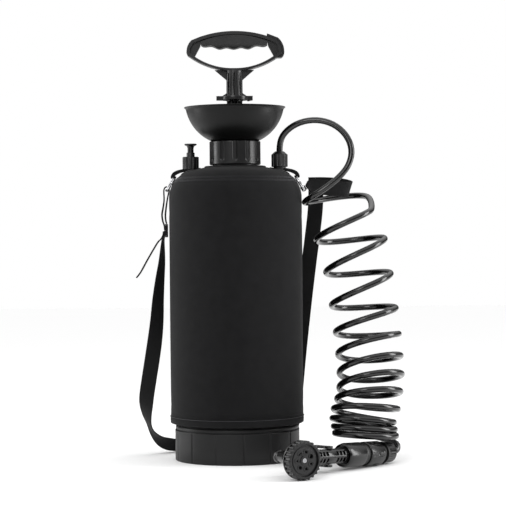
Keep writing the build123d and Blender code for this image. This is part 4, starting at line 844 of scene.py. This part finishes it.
@dataclass
class BossFittings:
    """The relief valve on the left boss and the hose outlet on the right one."""

    def build(self) -> None:
        """Dress both fittings."""
        dress(["relief_nut", "relief_body", "relief_pin", "hose_nut", "outlet_spigot",
               "dip_tube", "strainer"], FITTING_PLASTIC, 0.35)
        dress(["relief_seal", "outlet_seal", "relief_oring"], SEAL_RUBBER)
        dress(["relief_spring"], STEEL)


@dataclass
class CarryStrap:
    """The webbing tabs, split rings, slider and shoulder strap."""

    width: float = 21.5
    tab_width: float = 14.0
    tab_line: Outline = (
        (66.5, 407.3), (74.0, 406.0), (81.0, 404.4), (86.4, 401.6), (88.9, 397.4), (89.1, 394.6))
    under_line: Outline = (
        (68.0, 405.2), (75.0, 403.9), (80.6, 401.9), (84.6, 399.6), (86.9, 396.6), (88.9, 394.8))
    loop_line: Outline = (
        (-97.0, 331.3), (-98.1, 336.0), (-98.5, 344.0), (-97.0, 356.6), (-95.5, 366.0),
        (-94.5, 371.0), (-93.6, 375.0), (-92.95, 378.3), (-93.6, 381.3), (-95.6, 382.9),
        (-98.2, 382.3), (-99.9, 379.8), (-100.5, 376.0), (-100.2, 364.5), (-101.6, 354.0),
        (-103.3, 344.0), (-102.3, 335.0), (-100.2, 328.5), (-99.5, 321.8))
    tail_line: Outline = (
        (-101.3, 320.5), (-102.0, 315.0), (-105.0, 309.6), (-110.3, 303.9), (-124.0, 281.0),
        (-133.5, 264.0), (-139.8, 255.6))

    def build(self) -> None:
        """Make every length of webbing and the metalwork."""
        for side in Facing:
            self.tab(side)
        self.rings()
        self.loop()
        self.tail()
        self.long_run()
        self.fold()
        dress(["strap_slider"], EYELET_PLASTIC, 0.5)

    def declare(self, ribbon: Ribbon, nodes: Sequence[str]) -> None:
        """Args:
            ribbon: The webbing.
            nodes: The CAD nodes that it stands for.
        """
        piece = ribbon.build()
        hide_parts(*nodes)

    def tab(self, side: Facing) -> None:
        """Make the tab that holds one ring."""
        name = side.name.lower()
        upper, under = ([((side.value * x, 0.0, z), self.tab_width, (0, 1, 0)) for x, z in line]
                        for line in (self.tab_line, self.under_line))
        self.declare(Ribbon("shoulder_tab_" + name, upper, thick=2.6), ["cover_tab_" + name])
        Ribbon("shoulder_tab_under_" + name, under, thick=1.8).build()

    def rings(self) -> None:
        """Make the two split rings, each of two close turns of wire."""
        wire = 0.95
        for side in Facing:
            mesh = bmesh.new()
            for shift in (0.86, -0.86):
                merge(mesh, ring(12.0, (wire, wire), 12, 72, shift))
            lean = radians(58.0 * side.value)
            place = Matrix.Translation(metres((side.value * 90.6, 0, 386.8)))
            place = place @ Matrix.Rotation(lean, 4, "Y")
            name = side.name.lower()
            piece = finish_piece("split_ring_wire_" + name, mesh, "tank", NICKEL, place)
            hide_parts("split_ring_" + name)

    def loop(self) -> None:
        """Make the short double loop between the left ring and the slider."""
        stations = []
        for x, z in self.loop_line:
            width = min(self.width, max(11.6, self.width - (z - 352.0) * 0.495))
            stations.append(((x, 0.0, z), width, (0, 1, 0)))
        self.declare(Ribbon("strap_double_loop", stations, per_run=4), ["strap_loop"])

    def tail(self) -> None:
        """Make the loose end that stands away from the slider."""
        stations = [((x, 0.0, z), self.width, (0, 1, 0)) for x, z in self.tail_line]
        self.declare(Ribbon("strap_loose_tail", stations), ["strap_tail"])

    def long_run(self) -> None:
        """Make the long run: down the left, behind the foot and up the right."""

        def turned(angle: float) -> Point:
            return (sin(radians(angle)), cos(radians(angle)), 0.0)

        w = self.width
        down = (
            (-99.5, 0, 321.5, 0), (-99.8, 0, 315.5, 0), (-102.3, 0.5, 306.9, 6),
            (-104.2, 3, 278.8, 20), (-107.6, 6, 250.7, 33), (-110.5, 10, 222.6, 45),
            (-112.6, 15, 194.5, 57), (-116.0, 21, 166.4, 72), (-120.5, 28, 138.3, 84),
            (-125.5, 36, 110.2, 92), (-130.0, 45, 82.0, 104), (-130.6, 53, 60.0, 138))
        stations = [((x, y, z), w, turned(angle)) for x, y, z, angle in down]
        on_edge, upright = (0.0, -0.60, 0.80), (1.0, 0.0, 0.1)
        stations += [
            ((-127.4, 60, 43.0), w, (0.30, -0.95, 0.05)),
            ((-120.0, 68, 28.5), w, (0.15, -0.85, 0.40)),
            ((-108.0, 78, 16.5), w, (0.05, -0.70, 0.70)), ((-91.6, 91.3, 10.2), w, on_edge),
            ((-64.0, 107.0, 9.6), w, on_edge), ((-32.0, 116.0, 9.6), w, on_edge),
            ((0.0, 119.0, 9.6), w, on_edge), ((32.0, 115.0, 9.6), w, on_edge),
            ((56.0, 106.0, 10.6), w, on_edge), ((68.0, 98.0, 17.0), w, (0.35, -0.50, 0.78)),
            ((76.5, 90.0, 32.0), w, (0.75, -0.35, 0.50)),
            ((80.5, 82.0, 56.0), w, (0.95, -0.15, 0.20)),
            ((84.5, 73.0, 96.0), w, upright), ((89.5, 64.5, 149.0), w, upright),
            ((97.5, 57.0, 221.0), w, upright), ((104.7, 52.0, 279.0), w, upright),
            ((108.5, 50.0, 307.0), w, (1.0, 0.0, 0.05)), ((113.6, 49.2, 350.0), w, (1.0, 0.0, 0.0)),
            ((115.0, 49.2, 386.0), w, (1.0, 0.0, 0.0))]
        self.declare(Ribbon("strap_long_run", stations),
                     ["strap_left", "strap_back", "strap_right"])

    def fold(self) -> None:
        """Make the folded end that leads to the right ring, with its eye."""
        w = self.width
        stations = [
            ((100.2, 9.0, 380.8), 7.0, (-0.375, 0.707, 0.6)),
            ((103.2, 10.3, 381.6), 14.0, (-0.1, 0.4, 0.9)),
            ((107.0, 11.6, 381.9), 20.5, (0.0, 0.15, 1.0)),
            ((122.0, 12.5, 380.8), w, (0.05, 0.05, 1.0)),
            ((142.0, 13.5, 378.8), w, (0.12, 0.05, 1.0)),
            ((154.0, 16.0, 377.6), w, (0.25, 0.05, 1.0)),
            ((160.5, 21.5, 377.8), w, (0.3, 0.0, 1.0)), ((162.5, 30.0, 379.2), w, (0.3, 0.0, 1.0)),
            ((158.5, 39.5, 381.6), w, (0.2, 0.0, 1.0)), ((147.0, 45.6, 384.0), w, (0.1, 0.0, 1.0)),
            ((126.0, 47.6, 385.5), w, (0.0, 0.0, 1.0)), ((104.0, 47.6, 385.5), w, (0.0, 0.0, 1.0))]
        self.declare(Ribbon("strap_folded_end", stations), ["strap_fold"])
        dress(["strap_eye"], SEAL_RUBBER)


@dataclass(frozen=True)
class Turn:
    """One turn of the coil: its middle, its radius and how far its ends and back rise."""

    x: float
    y: float
    z: float
    radius: float
    right_rise: float
    front_rise: float

    def toward(self, other: "Turn", share: float) -> "Turn":
        """Return the turn between this one and another."""
        mine, theirs = astuple(self), astuple(other)
        return Turn(*(a + (b - a) * share for a, b in zip(mine, theirs)))

    def point(self, angle: float) -> Point:
        """Return the point of the turn at an angle from its right end."""
        across, back = cos(angle), sin(angle)
        rise = self.right_rise * across - self.front_rise * back
        return (self.x + self.radius * across, self.y + self.radius * back, self.z + rise)


@dataclass
class ShowerHose:
    """The hose: out of its nut, over in a loop, down the stretched coil to the gun."""

    radius: float = 4.35
    lead: tuple[Point, ...] = (
        (62.4, 0.0, 431.3), (62.4, 0.0, 446.0), (72.5, -4.0, 461.0), (91.0, -9.0, 472.0),
        (115.0, -14.0, 475.0), (138.0, -18.0, 468.5), (155.5, -22.0, 453.0), (163.5, -26.0, 432.0),
        (159.0, -30.0, 411.0), (146.0, -33.0, 394.5), (127.0, -36.0, 379.5), (108.0, -34.5, 367.5),
        (97.6, -22.0, 361.0), (97.0, 2.0, 358.5), (108.0, 26.0, 361.0), (130.0, 44.0, 365.5),
        (157.0, 54.0, 369.0), (180.0, 46.0, 370.0), (191.0, 24.0, 366.0))
    turns: tuple[Turn, ...] = (
        # where each turn passes its right end, going down
        Turn(148.5, -1.0, 339.0, 45.0, 12.0, 2.0), Turn(165.5, -3.0, 297.0, 44.0, 11.5, 2.0),
        Turn(173.5, -6.0, 248.0, 43.8, 11.5, 2.5), Turn(180.0, -10.0, 202.0, 43.8, 9.0, 4.0),
        Turn(183.5, -15.5, 168.0, 43.8, 6.5, 8.0), Turn(185.5, -21.0, 138.5, 43.8, 5.5, 12.0),
        Turn(186.5, -27.0, 114.5, 43.8, 4.0, 14.0), Turn(184.0, -34.0, 94.0, 43.8, 1.0, 13.5),
        Turn(179.5, -43.0, 76.0, 43.8, -4.5, 9.0), Turn(173.5, -50.0, 60.5, 43.6, -6.5, 6.0),
        Turn(174.5, -57.0, 50.0, 43.4, -5.0, 3.0), Turn(176.0, -63.0, 41.5, 43.2, -4.5, 2.0),
        Turn(177.0, -66.0, 34.5, 43.0, -3.0, 0.0))
    tail: tuple[Point, ...] = ((220.5, -47.0, 27.0), (221.5, -52.0, 17.5))
    # The hose meets the gun's axis outside its end nut and ends inside it.
    gun_reach: tuple[float, float] = (221.6, 210.1)
    per_turn: int = 16

    def coil(self) -> list[Point]:
        """Return the coil's control points, turn by turn."""
        points = []
        steps = (len(self.turns) - 1) * self.per_turn - self.per_turn // 4
        for k in range(1, steps + 1):
            s = k / self.per_turn
            i = min(int(s), len(self.turns) - 2)
            here = self.turns[i].toward(self.turns[i + 1], s - i)
            points.append(here.point(-tau * s))
        return points

    def build(self) -> None:
        out, end = (SprayGun().along(reach) for reach in self.gun_reach)
        route = [*self.lead, *self.coil(), *self.tail, out, end]
        hose = add_cord("shower_hose", route, self.radius, HOSE_PVC, closed=False, rounding=6)
        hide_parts("hose_lead", "hose_coil", "hose_tail")


@dataclass
class SprayGun:
    """The spray gun that lies in front, with its quick connector and pattern dial."""

    dial_face: Point = (88.7, -252.0, 25.7)
    dial_turn: float = 32.0
    dial_radius: float = 25.7
    dial_depth: float = 12.0
    knurls: int = 24
    head_depth: float = 26.0
    axis_end: Point = (182.0, -99.5, 17.2)

    def normal(self) -> Vector:
        """Return where the dial faces."""
        turn = radians(self.dial_turn)
        return Vector((sin(turn), -cos(turn), 0))

    def axis(self) -> tuple[Vector, Vector]:
        """Return the head's middle and the direction of the handle."""
        centre = Vector(self.dial_face) - self.normal() * self.head_depth
        return centre, (Vector(self.axis_end) - centre).normalized()

    def along(self, reach: float) -> Point:
        """Return the point on the handle's axis at a distance from the head."""
        centre, way = self.axis()
        return tuple(centre + way * reach)

    def build(self) -> None:
        """Dress the gun's pieces."""
        dress(["gun_handle", "gun_head", "flow_lever"], GUN_PLASTIC, 0.4)
        dress(["connector_sleeve", "hose_end_nut"], GUN_PLASTIC, 0.35)
        dress(["connector_body", "connector_ring"], GUN_RUBBER, 0.35)
        dress(["dial_plate"], DIAL_PLASTIC, 0.2)
        dress(["dial_screw", "connector_spring"], STEEL)
        self.bezel()

    def bezel(self) -> None:
        """Make the dial's knurled ring, with a pocket between each two knurls."""
        r, deep = self.dial_radius, self.dial_depth
        rows = [(r - 0.7, -1.1 - (deep - 2.2) * i / 14) for i in range(15)]
        profile = [(17.8, -deep), (r - 1.8, -deep)] + rows[::-1]
        profile += [(r - 1.6, -0.3), (r - 2.6, 0.0), (20.8, 0.0), (20.2, -0.7), (20.2, -3.2),
                    (17.8, -3.2)]
        mesh = spun(profile, self.knurls * 16)
        step = 360.0 / self.knurls

        def pocket(turn: float, radius: float, height: float) -> float:
            if radius < r - 2.2:
                return 0.0
            off = abs((turn + step / 2) % step - step / 2) / step
            valley = max(0.0, min(1.0, (off - 0.17) / 0.13))
            knurl = -0.55 * (1.0 - min(1.0, off / 0.2) ** 2)
            return knurl + 1.5 * valley

        radial_wave(mesh, pocket)
        place = facing_place(self.dial_face, self.normal())
        bezel = finish_piece("dial_knurled_ring", mesh, "dial", DIAL_PLASTIC, place, smooth=42.0)
        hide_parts("dial_bezel")


@dataclass
class Studio:
    """The plain pale floor, the soft lights and the camera."""

    # The photograph's horizon, and its camera's distance in pixels of the picture.
    horizon_px: float = 240.2
    distance_px: float = 1890.0
    picture_px: float = 512.0
    sensor_mm: float = 24.0
    camera: Point = (24.0, -2655.0, 307.0)
    roll: float = -0.48

    def build(self) -> None:
        """Set up floor, lights, world, camera and colour management."""
        self.floor()
        self.lights()
        self.view()
        bpy.context.scene.view_settings.view_transform = "Standard"

    def floor(self) -> None:
        """Lay a plain pale floor."""
        mesh = bmesh.new()
        bmesh.ops.create_grid(mesh, x_segments=1, y_segments=1, size=6.0)
        data = bpy.data.meshes.new("floor")
        mesh.to_mesh(data)
        mesh.free()
        data.materials.append(PAPER.make())
        add_object("floor", data)

    def lights(self) -> None:
        """Light the object with large soft lamps and an even pale world."""
        world = bpy.data.worlds.new("studio")
        bpy.context.scene.world = world
        world.use_nodes = True
        tree = world.node_tree
        tree.nodes.clear()
        way = add_node(tree, "TexCoord").outputs["Generated"]
        height = add_node(tree, "SeparateXYZ", links={"Vector": way}).outputs["Z"]
        ceiling = add_node(tree, "MapRange", {"From Min": 0.2, "From Max": 0.75, "To Min": 0.1,
                                              "To Max": 1.35}, {"Value": height})
        room = add_node(tree, "Background", {"Color": linear("#ffffff")},
                        {"Strength": ceiling.outputs["Result"]})
        paper = add_node(tree, "Background", {"Color": linear("#ffffff"), "Strength": 1.0})
        seen = add_node(tree, "LightPath").outputs["Is Camera Ray"]
        mix = add_node(tree, "MixShader", links={0: seen, 1: room.outputs["Background"],
                                                 2: paper.outputs["Background"]})
        add_node(tree, "OutputWorld", links={"Surface": mix.outputs["Shader"]})
        for name, place, width, height_m, power in (
                ("left_strip", (-1500.0, 250.0, 500.0), 0.35, 1.3, 9.0),
                ("right_strip", (1500.0, -150.0, 500.0), 0.5, 1.3, 15.0),
                ("front_box", (-700.0, -2300.0, 1500.0), 0.9, 0.9, 14.0)):
            data = bpy.data.lights.new(name, "AREA")
            data.shape = "RECTANGLE"
            data.size = width
            data.size_y = height_m
            data.energy = power
            lamp = add_object(name, data)
            lamp.location = metres(place)
            aim = metres((0, 0, 260)) - lamp.location
            lamp.rotation_euler = aim.to_track_quat("-Z", "Y").to_euler()

    def view(self) -> None:
        """Set the camera at the photograph's viewing angle."""
        data = bpy.data.cameras.new("camera")
        data.sensor_fit = "VERTICAL"
        data.sensor_height = self.sensor_mm
        data.lens = self.sensor_mm * self.distance_px / self.picture_px
        camera = add_object("camera", data)
        down = atan((self.picture_px / 2 - self.horizon_px) / self.distance_px)
        turn = Matrix.Rotation(pi / 2 - down, 4, "X")
        turn = turn @ Matrix.Rotation(radians(self.roll), 4, "Z")
        camera.matrix_world = Matrix.Translation(metres(self.camera)) @ turn
        bpy.context.scene.camera = camera


def main() -> None:
    """Build the shower piece by piece, then the studio."""
    logging.basicConfig(level=logging.INFO, format="%(name)s: %(message)s")
    for part in (BaseFoot(), NeopreneCover(), NeckAndFunnel(), HandPump(), BossFittings(),
                 CarryStrap(), ShowerHose(), SprayGun(), Studio()):
        LOG.info("building %s", type(part).__name__)
        part.build()


if __name__ == "__main__":
    main()
